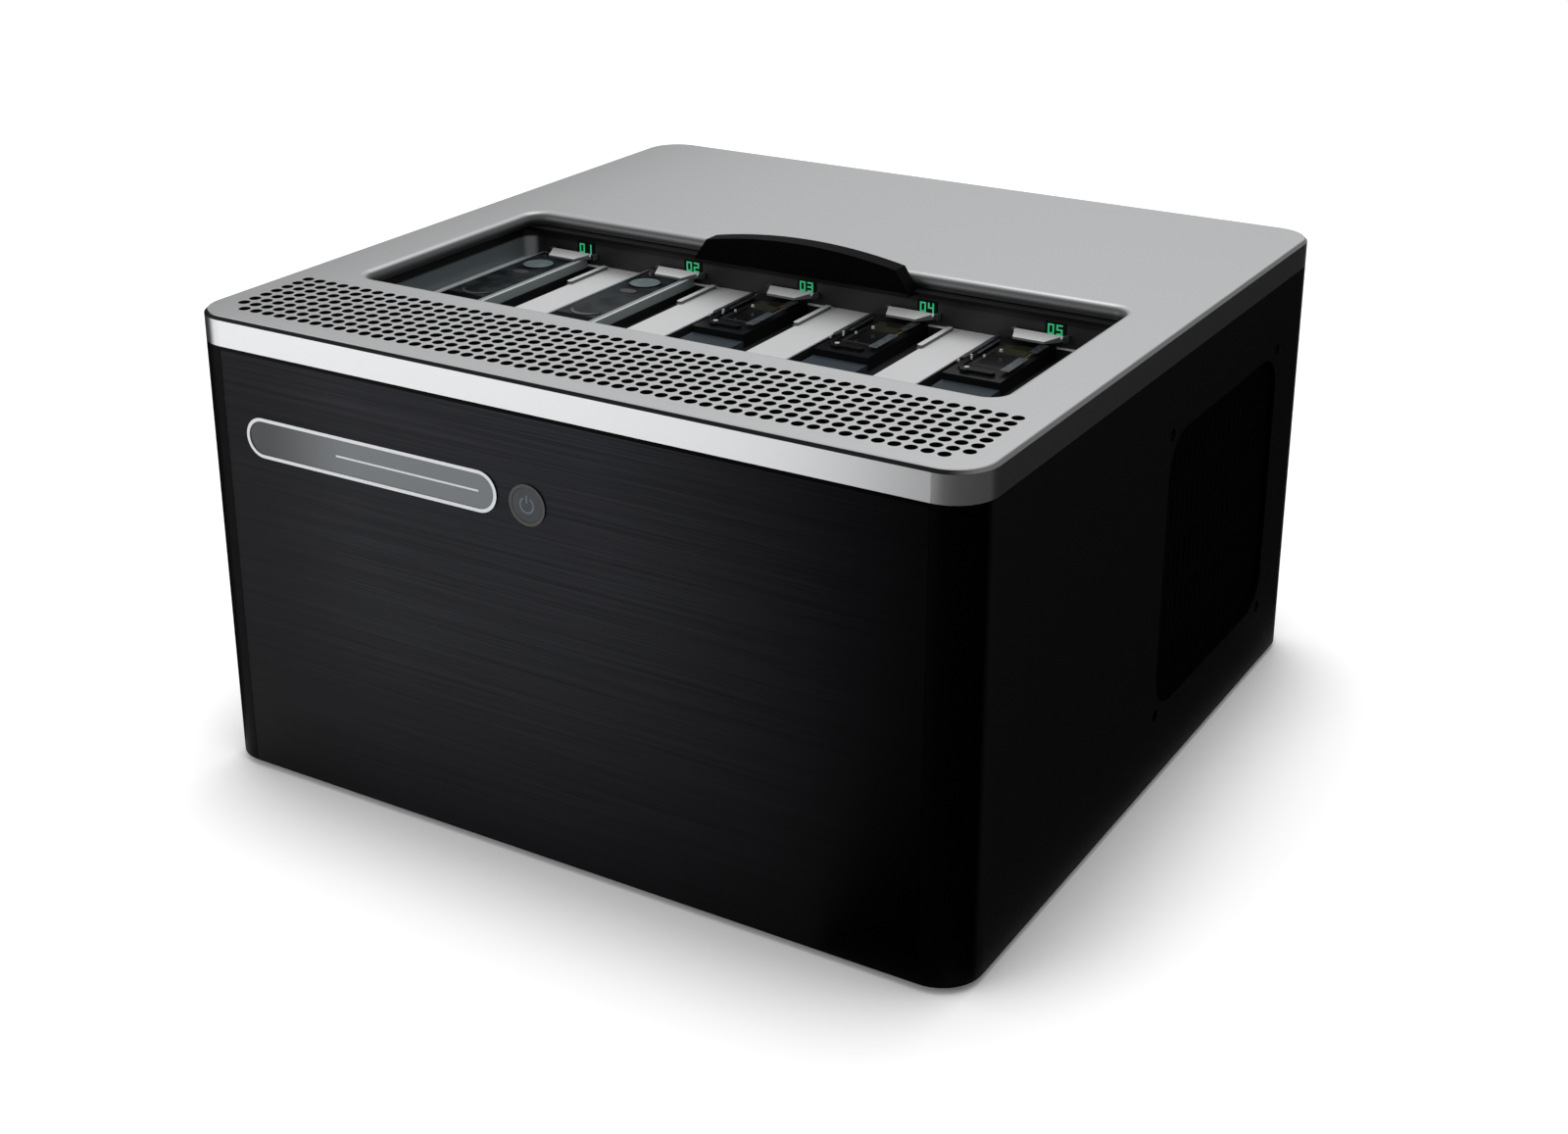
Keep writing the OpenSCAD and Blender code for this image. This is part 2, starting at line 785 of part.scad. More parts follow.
module bay_tray() {
    color("#33383a") {
        difference() {
            union() {
                translate([0, tray_mid, tray_z0])
                    rounded_slab(2 * (tray_x + tray_t), tray_d + 2 * tray_t, lip_z1 - tray_z0, tray_r + tray_t);
                translate([-tray_x - flange_w, landing_y0, lip_z0])
                    cube([2 * (tray_x + flange_w), tray_y1 - tray_r - landing_y0, lip_t]);
            }
            translate([0, tray_mid, tray_floor_z1])
                rounded_slab(2 * tray_x, tray_d, lip_z1 - tray_floor_z1 + 1, tray_r);
            for (i = bays)
                translate([bay_x(i) - cell_shift, cell_y1 - contact_front, tray_z0 - 1])
                    contact_block(0.3, tray_t + 2);
        }
        for (i = bays)
            clip_ears(i);
    }
}

// Two small ears on the rear wall that hold the pins of a clip
module clip_ears(i) {
    ear_h = 2 * clip_barrel_r;
    for (side = [-1, 1])
        translate([bay_x(i) + clip_mid + side * (clip_w / 2 + 0.2 + clip_ear_w / 2), 0, clip_axis_z])
            difference() {
                translate([-clip_ear_w / 2, clip_axis_y - clip_barrel_r, -ear_h / 2])
                    cube([clip_ear_w, tray_y1 - clip_axis_y + clip_barrel_r, ear_h]);
                translate([-clip_ear_w, clip_axis_y, 0])
                    rotate([0, 90, 0])
                        cylinder(h = 2 * clip_ear_w, r = clip_pin_r + pin_play, $fn = 32);
            }
}

module contact_block(play, h) {
    translate([-contact_w / 2 - play, -contact_l / 2 - play, 0])
        cube([contact_w + 2 * play, contact_l + 2 * play, h]);
}

module deck_plate() {
    color("#c9cbcc")
        translate([0, 0, slot_z])
            linear_extrude(slot_deep)
                difference() {
                    translate([0, tray_mid])
                        rounded_rect(2 * (tray_x - slip), tray_d - 2 * slip, tray_r - slip);
                    for (i = bays)
                        slot_outline(i);
                }
}

module slot_outline(i) {
    translate([bay_x(i), (slot_y0 + slot_y1) / 2])
        rounded_rect(slot_w, slot_y1 - slot_y0, slot_r);
}

module cell_docks() {
    color("#0f1012")
        for (i = bays)
            difference() {
                translate([bay_x(i) - slot_w / 2 - dock_wall, slot_y0 - dock_wall, tray_floor_z1])
                    cube([slot_w + 2 * dock_wall, tray_y1 - slot_y0, dock_t]);
                translate([bay_x(i) - cell_shift, cell_y1 - contact_front, tray_floor_z1 - 1])
                    contact_block(0.3, dock_t + 2);
            }
}

// A tab on the right edge of each slot: it stands in the slot and laps over the deck
module guide_tabs() {
    color("#b9bcbe")
        for (i = bays) {
            right = bay_x(i) + slot_w / 2;
            translate([0, 0, deck_z])
                linear_extrude(guide_rise)
                    guide_outline(right + guide_lap, guide_w);
            translate([0, 0, slot_z])
                linear_extrude(slot_deep)
                    guide_outline(right, guide_w - guide_lap);
        }
}

module guide_outline(right, w) {
    y1 = slot_y1 - slot_r;
    translate([right - w, y1 - guide_l + w / 2])
        square([w, guide_l - w / 2]);
    translate([right - w / 2, y1 - guide_l + w / 2])
        circle(w / 2);
}

module contact_blocks() {
    color("#b08d3c")
        for (i = bays)
            translate([bay_x(i) - cell_shift, cell_y1 - contact_front, carrier_z + pcb_t])
                contact_block(0, slot_z - carrier_z - pcb_t);
}

module carrier_board() {
    color("#1f5a35")
        translate([-tray_x, tray_y0, carrier_z])
            cube([2 * tray_x, tray_d, pcb_t]);
}

module board_standoffs() {
    color("#c2a35a") {
        for (sx = [-1, 0, 1], sy = [-1, 1])
            translate([sx * (tray_x - 8) + bay_pitch / 2 * (1 - abs(sx)), tray_mid + sy * (tray_d / 2 - 8),
                carrier_z + pcb_t])
                cylinder(h = tray_z0 - carrier_z - pcb_t, r = 3);
        for (sx = [0, 0.5, 1], sy = [0, 0.5, 1])
            translate([8 + (board_w - 16) * sx - board_x, board_y1 - 8 - (board_d - 16) * sy, floor_z])
                cylinder(h = board_rise, r = 3);
    }
}

// Bay numbers

// Strokes that are lit for each digit, clockwise from the top, then the middle one
digit_strokes = [
    [1, 1, 1, 1, 1, 1, 0],
    [0, 1, 1, 0, 0, 0, 0],
    [1, 1, 0, 1, 1, 0, 1],
    [1, 1, 1, 1, 0, 0, 1],
    [0, 1, 1, 0, 0, 1, 1],
    [1, 0, 1, 1, 0, 1, 1]
];

module digit(n) {
    x = (digit_w - digit_stroke) / 2;
    z = (digit_h - digit_stroke) / 2;
    across = [digit_w, digit_stroke];
    along = [digit_stroke, z + digit_stroke];
    places = [[0, z], [x, z / 2], [x, -z / 2], [0, -z], [-x, -z / 2], [-x, z / 2], [0, 0]];
    for (k = [0 : 6])
        if (digit_strokes[n][k] == 1)
            translate(places[k])
                square(k % 3 == 0 ? across : along, center = true);
}

module number_windows() {
    color("#0b0f0d")
        for (i = bays)
            translate([bay_x(i) + number_x, tray_y1 - window_plate[1], number_z])
                centred_block(window_plate);
}

module bay_numbers() {
    color("#2fe07a")
        for (i = bays, place = [0, 1])
            translate([bay_x(i) + number_x + (place - 0.5) * (digit_w + digit_space), 0, number_z])
                upright(tray_y1 - window_plate[1] - digit_relief, digit_relief)
                    digit(place * i);
}

// Clips and cells

module clip(i) {
    color("#a7a9ab")
        translate([bay_x(i) + clip_mid, clip_axis_y, clip_axis_z]) {
            rotate([0, 90, 0]) {
                translate([0, 0, -clip_w / 2])
                    cylinder(h = clip_w, r = clip_barrel_r, $fn = 32);
                translate([0, 0, -clip_w / 2 - clip_ear_w])
                    cylinder(h = clip_w + 2 * clip_ear_w, r = clip_pin_r, $fn = 32);
            }
            intersection() {
                translate([0, 0, -clip_barrel_r])
                    linear_extrude(2 * clip_barrel_r)
                        polygon([[-clip_w / 2, 0], [clip_w / 2, 0], [clip_tip_w / 2 - clip_skew, -clip_l],
                            [-clip_tip_w / 2 - clip_skew, -clip_l]]);
                rotate([90, 0, 90])
                    translate([0, 0, -clip_w / 2])
                        linear_extrude(clip_w)
                            polygon([[0, -clip_barrel_r], [0, clip_barrel_r], [-clip_l, clip_t - clip_barrel_r],
                                [-clip_l, -clip_barrel_r]]);
            }
        }
}

module cell_plan(y0, y1) {
    translate([-cell_w / 2, y0])
        square([cell_w, y1 - y0]);
}

module test_cell(i) {
    color("#8f999b")
        translate([bay_x(i) - cell_shift, 0, 0])
            difference() {
                translate([0, 0, cell_z0])
                    linear_extrude(test_z - cell_z0)
                        cell_plan(cell_y0, cell_y1);
                translate([0, 0, test_z - inlay_t])
                    linear_extrude(inlay_t + 1)
                        label_outline(0);
            }
}

// The label plate leaves a narrow edge on the left and a wide ridge on the right
module label_outline(play) {
    translate([label_edge - cell_w / 2 + play, cell_y0 + label_end + play])
        square([cell_w - label_edge - label_ridge - 2 * play, cell_l - label_end - label_edge - 2 * play]);
}

module cell_label(i) {
    color("#17191c")
        translate([bay_x(i) - cell_shift, 0, test_z - inlay_t])
            linear_extrude(inlay_t)
                label_outline(slip);
}

module flow_cell(i) {
    color("#0d0e10")
        translate([bay_x(i) - cell_shift, 0, 0]) {
            difference() {
                union() {
                    translate([0, 0, cell_z0])
                        linear_extrude(flow_tab_t)
                            cell_plan(cell_y0, cell_y1);
                    translate([0, 0, cell_z0])
                        linear_extrude(flow_z - cell_z0)
                            cell_plan(flow_block_y0, cell_y1);
                }
                translate([0, 0, flow_z - inlay_t])
                    linear_extrude(inlay_t + 1)
                        sensor_outline(0);
            }
            translate([port_x, flow_block_y0 + port_inset, flow_z])
                cylinder(h = port_t + 0.3, r = port_pin_r, $fn = 32);
        }
}

module sensor_outline(play) {
    translate([-sensor_w / 2 + play, cell_y1 - sensor_rear - sensor_l + play])
        square([sensor_w - 2 * play, sensor_l - 2 * play]);
}

module cell_window(i) {
    color("#2d2c1c")
        translate([bay_x(i) - cell_shift, 0, flow_z - inlay_t])
            linear_extrude(inlay_t)
                sensor_outline(slip);
}

// A small lever over the filling port, turning on a pin
module port_cover(i) {
    color("#1a1c20")
        translate([bay_x(i) - cell_shift + port_x, flow_block_y0 + port_inset, flow_z + 0.1])
            linear_extrude(port_t)
                difference() {
                    union() {
                        circle(port_r);
                        translate([0, -port_r * 0.6])
                            square([port_arm_l - port_r * 0.6, port_r * 1.2]);
                        translate([port_arm_l - port_r * 0.6, 0])
                            circle(port_r * 0.6);
                    }
                    circle(port_pin_r + pin_play);
                }
}

// Front badge and power button

module badge_plate() {
    color("#7f8487")
        translate([-badge_x, 0, badge_z])
            upright(front_y - front_proud / 3, badge_pocket + front_proud / 3)
                stadium(badge_l - 2 * badge_rim_w - 2 * slip, badge_h - 2 * badge_rim_w - 2 * slip);
}

module badge_rim() {
    color("#dfe1e2")
        translate([-badge_x, 0, badge_z])
            upright(front_y - front_proud, badge_pocket + front_proud)
                difference() {
                    stadium(badge_l - 2 * slip, badge_h - 2 * slip);
                    stadium(badge_l - 2 * badge_rim_w, badge_h - 2 * badge_rim_w);
                }
}

module button_bezel() {
    color("#1c1e22")
        translate([-button_x, 0, button_z])
            upright(front_y - front_proud, bezel_depth + front_proud)
                difference() {
                    circle(bezel_r - slip);
                    circle(button_d / 2 + button_play);
                }
}

module power_button() {
    dome_y = front_y - front_proud * 0.8;
    color("#3a3f43")
        translate([-button_x, 0, button_z]) {
            upright(dome_y, cap_back + front_y - dome_y)
                circle(d = button_d);
            upright(front_y + cap_back, stem_l)
                circle(stem_r);
        }
}

module button_switch() {
    color("#0f1012")
        translate([-button_x, 0, button_z])
            difference() {
                upright(front_y + bezel_depth, switch_l)
                    circle(bezel_r);
                upright(front_y + bezel_depth - 1, stem_l + button_travel)
                    circle(stem_r + 0.2);
            }
}

// Electronics

module mainboard() {
    color("#1d5133")
        translate([-board_x, board_y1 - board_d, board_z])
            cube([board_w, board_d, pcb_t]);
    color("#2a2a2c") {
        translate([-board_x + cpu_in + (sink_w - cpu_w) / 2, board_y1 - cpu_y - cpu_w / 2, board_top])
            cube([cpu_w, cpu_w, cpu_t]);
        translate([card_x - card_slot_w / 2, board_y1 - card_back - card_slot_l, board_top])
            cube([card_slot_w, card_slot_l, card_slot_h]);
    }
}

// A base block on the processor and upright fins on it
module cpu_heatsink() {
    base_h = 8;
    fins = 15;
    fin_t = 1.6;
    color("#b4b8bb")
        translate([-board_x + cpu_in, board_y1 - cpu_y - sink_w / 2, board_top + cpu_t]) {
            cube([sink_w, sink_w, base_h]);
            for (k = [0 : fins - 1])
                translate([k * (sink_w - fin_t) / (fins - 1), 0, base_h])
                    cube([fin_t, sink_w, sink_h]);
        }
}

module graphics_card() {
    card_y = board_y1 - fan_d - 1 - card_l;
    card_z = board_top + card_slot_h;
    cooler_z = card_z + 5;
    cooler_t = 36;
    cooler_h = card_h - 8;
    cooler_fan_r = cooler_h / 2 - 12;
    color("#1d5133")
        translate([card_x - pcb_t / 2, card_y, card_z])
            cube([pcb_t, card_l, card_h]);
    color("#1b1c20")
        difference() {
            translate([card_x + pcb_t / 2, card_y, cooler_z])
                cube([cooler_t, card_l, cooler_h]);
            translate([card_x + pcb_t / 2 + cooler_t / 3, card_y + cooler_h / 2, cooler_z + cooler_h / 2])
                rotate([0, 90, 0])
                    cylinder(h = cooler_t, r = cooler_fan_r);
        }
}

module power_supply() {
    color("#3b3d42")
        translate([psu_x1 - psu_w, rear_in_y - psu_d, floor_z])
            cube([psu_w, psu_d, psu_h]);
}

module storage_drives() {
    drive_t = 7;
    drive_gap = 1.4;
    color("#4a4d52") {
        for (k = [0, 1])
            translate([psu_x1 - drive_in - drive_w, front_y + front_t + drive_front, floor_z + (drive_t + drive_gap) * k])
                cube([drive_w, drive_l, drive_t]);
        translate([psu_x1 - drive_in - drive_w + 5, front_y + front_t + drive_front + 5, floor_z + drive_t])
            cube([drive_w - 10, drive_l - 10, drive_gap]);
    }
}

// Flat cable from the carrier board down to the mainboard, lying on it at its end
module data_cable() {
    cable_t = 1.2;
    drop_y = board_y1 - board_d - 8;
    color("#9a9da1")
        translate([(board_w - cable_w) / 2 - board_x, 0, 0])
            rotate([90, 0, 90])
                linear_extrude(cable_w)
                    polygon([[drop_y, board_top], [drop_y, carrier_z], [drop_y + cable_t, carrier_z],
                        [drop_y + cable_t, board_top + cable_t], [drop_y + 24, board_top + cable_t],
                        [drop_y + 24, board_top]]);
}

// Fans

module fan_at(i) {
    translate([i * fan_step - fan_x, fan_y, fan_z])
        rotate([90, 0, 0])
            children();
}

module fan_frames() {
    color("#17181b")
        for (i = [0, 1])
            fan_at(i) {
                difference() {
                    rounded_slab(fan_w, fan_w, fan_d, 4);
                    translate([0, 0, -1])
                        cylinder(h = fan_d + 2, r = fan_bore_r);
                }
                difference() {
                    union() {
                        cylinder(h = fan_base_t, r = fan_hub_r);
                        for (turn = [45, 135])
                            rotate([0, 0, turn])
                                translate([-fan_bore_r - 0.5, -2, 0])
                                    cube([2 * fan_bore_r + 1, 4, fan_base_t - 1]);
                    }
                    translate([0, 0, -1])
                        cylinder(h = fan_base_t + 2, r = fan_shaft_r + pin_play, $fn = 32);
                }
            }
}

// Hub with its shaft and tilted blades, trimmed to a circle
module fan_rotor(i) {
    hub_z = fan_base_t + hub_gap;
    hub_h = fan_d - hub_z - 1;
    color("#222428")
        fan_at(i) {
            translate([0, 0, hub_z])
                cylinder(h = hub_h, r = fan_hub_r);
            translate([0, 0, 0.5])
                cylinder(h = hub_z, r = fan_shaft_r, $fn = 32);
            intersection() {
                translate([0, 0, hub_z])
                    cylinder(h = hub_h, r = blade_r);
                for (k = [0 : blades - 1])
                    rotate([0, 0, k * 360 / blades])
                        translate([fan_hub_r - 2, 0, hub_z + hub_h / 2])
                            rotate([42, 0, 0])
                                translate([0, -0.8, -hub_h / 2])
                                    cube([blade_r, 1.6, hub_h]);
            }
        }
}

module fan_guards() {
    rings = 5;
    step = (fan_bore_r + 1) / rings;
    color("#3d3f43")
        for (i = [0, 1])
            translate([0, rear_out_y - fan_y, 0])
                fan_at(i)
                    translate([0, 0, -guard_h])
                        linear_extrude(guard_h) {
                            for (k = [1 : rings])
                                difference() {
                                    circle(k * step);
                                    circle(k * step - guard_wire);
                                }
                            for (turn = [0, 90])
                                rotate(turn)
                                    square([2 * fan_bore_r + 4, guard_wire], center = true);
                            circle(step / 2);
                        }
}

// Sockets

module io_ports() {
    color("#9fa3a6")
        for (s = sockets)
            translate([s[0] - board_x, port_y1 - port_l, board_top])
                difference() {
                    translate([-s[1] / 2, 0, 0])
                        cube([s[1], port_l, s[2]]);
                    translate([-s[3] / 2, port_floor, (s[2] - s[4]) / 2])
                        cube([s[3], port_l, s[4]]);
                }
}

// Mains inlet with three blades, and beside it the rocker's frame
module power_inlet() {
    mouth_y = rear_out_y + flange_t;
    color("#101113")
        difference() {
            union() {
                translate([inlet_x, rear_out_y, inlet_z])
                    centred_block([inlet_flange[0], flange_t, inlet_flange[1]]);
                translate([inlet_x, mouth_y - inlet_size[2], inlet_z])
                    centred_block([inlet_size[0], inlet_size[2], inlet_size[1]]);
            }
            translate([inlet_x, mouth_y - inlet_mouth[2], inlet_z])
                centred_block([inlet_mouth[0], inlet_mouth[2] + 1, inlet_mouth[1]]);
        }
    color("#c7c9cb")
        for (p = [[-7, -2], [0, 2.5], [7, -2]])
            translate([inlet_x + p[0], mouth_y - inlet_mouth[2], inlet_z + p[1]])
                centred_block([2, inlet_mouth[2] - 6, 4]);
    color("#101113")
        difference() {
            union() {
                translate([rocker_x, rear_out_y, inlet_z])
                    centred_block([rocker_mouth[0] + 6, flange_t, rocker_mouth[1] + 6]);
                translate([rocker_x, rear_in_y - 10, inlet_z])
                    centred_block([rocker_mouth[0] + 2 * rocker_wall, rear_out_y - rear_in_y + 10,
                        rocker_mouth[1] + 2 * rocker_wall]);
            }
            translate([rocker_x, rear_in_y - 10 + rocker_wall, inlet_z])
                centred_block([rocker_mouth[0], 20, rocker_mouth[1]]);
            translate([rocker_x, rocker_pivot_y, inlet_z])
                rotate([0, 90, 0])
                    translate([0, 0, -rocker_mouth[0] / 2 - 1])
                        cylinder(h = rocker_mouth[0] + 2, r = rocker_pin_r + pin_play, $fn = 32);
        }
}

// Drawn with its lower end pressed in, on the pin that runs through it
module rocker_switch() {
    color("#0b0b0c")
        translate([rocker_x, rocker_pivot_y, inlet_z])
            rotate([-rocker_tilt, 0, 0]) {
                translate([0, rocker_front - rocker_size[1], 0])
                    centred_block(rocker_size);
                rotate([0, 90, 0])
                    translate([0, 0, -rocker_mouth[0] / 2 - 0.9])
                        cylinder(h = rocker_mouth[0] + 1.8, r = rocker_pin_r, $fn = 32);
            }
}

base_pan();
feet();
corner_posts();
front_panel();
side_panel(-1);  // side_panel_left
side_panel(1);  // side_panel_right
rear_panel();
top_cover();
air_grille();
side_vent(-1);  // side_vent_left
side_vent(1);  // side_vent_right
case_screws();
badge_plate();
badge_rim();
button_bezel();
power_button();
button_switch();
cover_rails();
bay_tray();
deck_plate();
cell_docks();
guide_tabs();
contact_blocks();
number_windows();
bay_numbers();
carrier_board();
board_standoffs();
cover_sheet();
cover_grip();
for (i = bays)
    clip(i);
for (i = test_bays) {
    test_cell(i);
    cell_label(i);
}
for (i = flow_bays) {
    flow_cell(i);
    cell_window(i);
    port_cover(i);
}
mainboard();
cpu_heatsink();
graphics_card();
power_supply();
storage_drives();
data_cable();
fan_frames();
fan_rotor(0);  // fan_rotor_left
fan_rotor(1);  // fan_rotor_right
fan_guards();
io_ports();
power_inlet();
rocker_switch();
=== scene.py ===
# %% [markdown]
# # A benchtop sequencer, from frame to finish
# The housing, the sliding cover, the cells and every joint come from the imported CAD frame, so this
# lesson never moves them. What is left for Blender is the finish of each piece and the small things
# that sit on them. The frame is loaded first, because every later size is read from it.

# %% Load the frame
import json
import math

import bmesh
import bpy
from mathutils import Matrix, Vector


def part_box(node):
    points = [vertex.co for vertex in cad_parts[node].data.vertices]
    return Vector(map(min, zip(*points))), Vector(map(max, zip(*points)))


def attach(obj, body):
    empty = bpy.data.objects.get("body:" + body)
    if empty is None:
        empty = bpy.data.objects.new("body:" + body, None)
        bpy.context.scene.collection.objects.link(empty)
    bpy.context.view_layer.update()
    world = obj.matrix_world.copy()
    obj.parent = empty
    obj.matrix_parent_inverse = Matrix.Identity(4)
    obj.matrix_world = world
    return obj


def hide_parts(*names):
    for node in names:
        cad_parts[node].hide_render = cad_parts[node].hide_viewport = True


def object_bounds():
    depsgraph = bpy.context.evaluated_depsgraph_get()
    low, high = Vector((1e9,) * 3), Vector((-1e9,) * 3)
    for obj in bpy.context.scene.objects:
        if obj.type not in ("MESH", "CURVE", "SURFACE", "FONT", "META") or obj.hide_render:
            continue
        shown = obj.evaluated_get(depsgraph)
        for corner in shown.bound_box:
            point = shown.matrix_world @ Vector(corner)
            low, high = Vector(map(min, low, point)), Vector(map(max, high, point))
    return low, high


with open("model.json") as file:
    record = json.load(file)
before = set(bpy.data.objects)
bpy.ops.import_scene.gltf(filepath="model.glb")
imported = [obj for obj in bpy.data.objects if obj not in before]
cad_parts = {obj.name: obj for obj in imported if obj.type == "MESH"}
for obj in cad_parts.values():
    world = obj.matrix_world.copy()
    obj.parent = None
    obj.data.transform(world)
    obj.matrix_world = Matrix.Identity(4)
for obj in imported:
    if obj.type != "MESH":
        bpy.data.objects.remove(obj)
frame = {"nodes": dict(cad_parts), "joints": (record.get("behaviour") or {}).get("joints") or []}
nodes = frame["nodes"]
cad_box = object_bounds()

# %% [markdown]
# ## Camera
# The picture was taken from the right of the front, a little over a metre away and above the top. Its
# uprights were straightened, which a camera does with a vertical shift of the lens. Most of that
# is done here by the camera's own tilt, and only a small shift is kept.

# %% Camera
picture_w = 1600
focal_px = 2227
sensor_mm = 36
camera_place = (0.481, -0.805, 0.487)
camera_aim = (-0.482, 0.806, -0.344)

camera_data = bpy.data.cameras.new("camera")
camera_data.sensor_width = sensor_mm
camera_data.lens = focal_px * sensor_mm / picture_w
camera_data.shift_y = -0.099
camera_data.clip_start = 0.05
camera = bpy.data.objects.new("camera", camera_data)
camera.location = camera_place
camera.rotation_euler = Vector(camera_aim).to_track_quat("-Z", "Y").to_euler()
bpy.context.scene.collection.objects.link(camera)
bpy.context.scene.camera = camera
print("lens", round(camera_data.lens, 1), "mm")

# %% [markdown]
# ## Shader maths as plain arithmetic
# A node tree is easier to read as a formula. Wire holds one output socket, and its operators add the
# Math node that does the sum. Finish holds a material with one Principled shader, makes any
# node from its type, settings and inputs, and hands back the node's output as a Wire. The plainest
# finishes only vary their colour a little, so one function makes them.


# %% Wires and finishes
class Wire:
    """One output socket, usable in sums."""

    def __init__(self, finish, socket):
        self.finish = finish
        self.socket = socket

    def sum(self, operation, other, swap=False):
        pair = (other, self) if swap else (self, other)
        return self.finish.node("ShaderNodeMath", {"operation": operation}, {0: pair[0], 1: pair[1]})

    def __add__(self, other):
        return self.sum("ADD", other)

    def __radd__(self, other):
        return self.sum("ADD", other, swap=True)

    def __sub__(self, other):
        return self.sum("SUBTRACT", other)

    def __rsub__(self, other):
        return self.sum("SUBTRACT", other, swap=True)

    def __mul__(self, other):
        return self.sum("MULTIPLY", other)

    def __rmul__(self, other):
        return self.sum("MULTIPLY", other, swap=True)

    def __gt__(self, other):
        return self.sum("GREATER_THAN", other)

    def __lt__(self, other):
        return self.sum("LESS_THAN", other)

    def size(self):
        return self.sum("ABSOLUTE", 0.0)

    def either(self, other):
        return self.sum("MAXIMUM", other)

    def ease(self, low, high, start=0.0, end=1.0):
        """Goes softly from start at low to end at high."""
        return self.finish.node(
            "ShaderNodeMapRange",
            {"interpolation_type": "SMOOTHSTEP"},
            {0: self, 1: low, 2: high, 3: start, 4: end},
        )


class Finish:
    """A material with one Principled shader."""

    def __init__(self, name, **values):
        self.material = bpy.data.materials.new(name)
        self.material.use_nodes = True
        self.tree = self.material.node_tree
        self.shader = self.tree.nodes["Principled BSDF"]
        self.shade(**values)

    def put(self, socket, value):
        if isinstance(value, Wire):
            self.tree.links.new(value.socket, socket)
        elif isinstance(value, (tuple, list)) and socket.type == "RGBA":
            socket.default_value = (*value[:3], 1.0)
        else:
            socket.default_value = value

    def node(self, kind, settings=None, inputs=None, output=0):
        made = self.tree.nodes.new(kind)
        for key, value in (settings or {}).items():
            setattr(made, key, value)
        for key, value in (inputs or {}).items():
            self.put(made.inputs[key], value)
        return Wire(self, made.outputs[output])

    def shade(self, **values):
        names = {
            "colour": "Base Color",
            "rough": "Roughness",
            "metal": "Metallic",
            "gloss": "Specular IOR Level",
            "coat": "Coat Weight",
            "normal": "Normal",
            "glow": "Emission Color",
            "glow_strength": "Emission Strength",
        }
        for key, value in values.items():
            self.put(self.shader.inputs[names[key]], value)

    def spot(self, scale=(1, 1, 1)):
        """Object coordinates, stretched by scale."""
        place = self.node("ShaderNodeTexCoord", output=3)
        return self.node("ShaderNodeMapping", {"vector_type": "POINT"}, {0: place, 3: scale})

    def along(self, axis):
        """The distance along one axis of the object, in metres."""
        place = self.node("ShaderNodeTexCoord", output=3)
        return self.node("ShaderNodeSeparateXYZ", {}, {0: place}, "XYZ".index(axis))

    def facing(self, axis):
        """1 where the surface faces straight along an axis, 0 where it runs beside it."""
        way = self.node("ShaderNodeTexCoord", output=1)
        return self.node("ShaderNodeSeparateXYZ", {}, {0: way}, "XYZ".index(axis))

    def noise(self, scale, stretch=(1, 1, 1), detail=2.0, rough=0.5):
        inputs = {"Vector": self.spot(stretch), "Scale": scale, "Detail": detail, "Roughness": rough}
        return self.node("ShaderNodeTexNoise", {}, inputs)

    def mix(self, amount, low, high):
        """Goes from colour low to colour high."""
        return self.node("ShaderNodeMix", {"data_type": "RGBA"}, {0: amount, 6: low, 7: high}, 2)

    def bump(self, height, strength, depth):
        inputs = {"Height": height, "Strength": strength, "Distance": depth}
        self.shade(normal=self.node("ShaderNodeBump", {}, inputs))


def clouded(name, low, high, size, detail=2.0, spread=None, **values):
    """A finish whose colour wanders between low and high with a fine noise."""
    made = Finish(name, **values)
    cloud = made.noise(size, detail=detail)
    if spread:
        cloud = cloud.ease(*spread)
    made.shade(colour=made.mix(cloud, low, high))
    return made


def dress(finish, *names):
    """Gives a finish to CAD nodes or to new pieces."""
    for name in names:
        piece = nodes[name] if isinstance(name, str) else name
        piece.data.materials.clear()
        piece.data.materials.append(finish.material)


# %% [markdown]
# ## The brushed front
# The front panel is anodised black and brushed from side to side. Brushing is noise stretched along
# one axis: fine across the strokes and hundreds of times longer along them. A coarse layer groups
# the strokes into the faint bands that brushing leaves, and the same field drives colour, roughness and
# bump, so that a bright stroke is also a smooth one. A painted sheen lies in the base colour: it is
# strongest in the middle and fades towards both ends and the foot. The top edge, in the seam under the
# silver band, is painted black as the seam's shade.

# %% Brushed black
brushed = Finish("brushed_black", metal=1.0)
strokes = brushed.noise(1.0, (14, 14, 3200), detail=3.0, rough=0.6)
bands = brushed.noise(1.0, (5, 5, 420), detail=2.0)
grain = strokes * 0.75 + bands * 0.25
panel_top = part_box("front_panel")[1].z
seam_h = 0.0017
# painted shade: the top strip in the seam under the silver band is black
painted_seam_shade = brushed.along("Z") > panel_top - seam_h
stroke_shade = brushed.mix(grain.ease(0.3, 0.7), (0.0085, 0.0088, 0.0102), (0.0175, 0.0182, 0.021))
front_x = brushed.along("X")
# painted sheen: the base colour is brightest mid-panel and fades towards both ends and the foot
painted_sheen = front_x.ease(-0.174, -0.163, 0.05, 0.5) * front_x.ease(-0.163, -0.07, 1.0, 2.1)
painted_sheen = painted_sheen * front_x.ease(-0.02, 0.165, 1.08, 0.2) * brushed.along("Z").ease(0.0, 0.14, 0.5, 1.0)
stroke_shade = brushed.mix(painted_sheen, (0.0004, 0.0004, 0.0005), stroke_shade)
brushed.shade(
    colour=brushed.mix(painted_seam_shade, stroke_shade, (0.001, 0.001, 0.0012)),
    rough=grain.ease(0.3, 0.7, 0.42, 0.35),
)
brushed.bump(grain, 0.2, 0.00004)
dress(brushed, "front_panel")
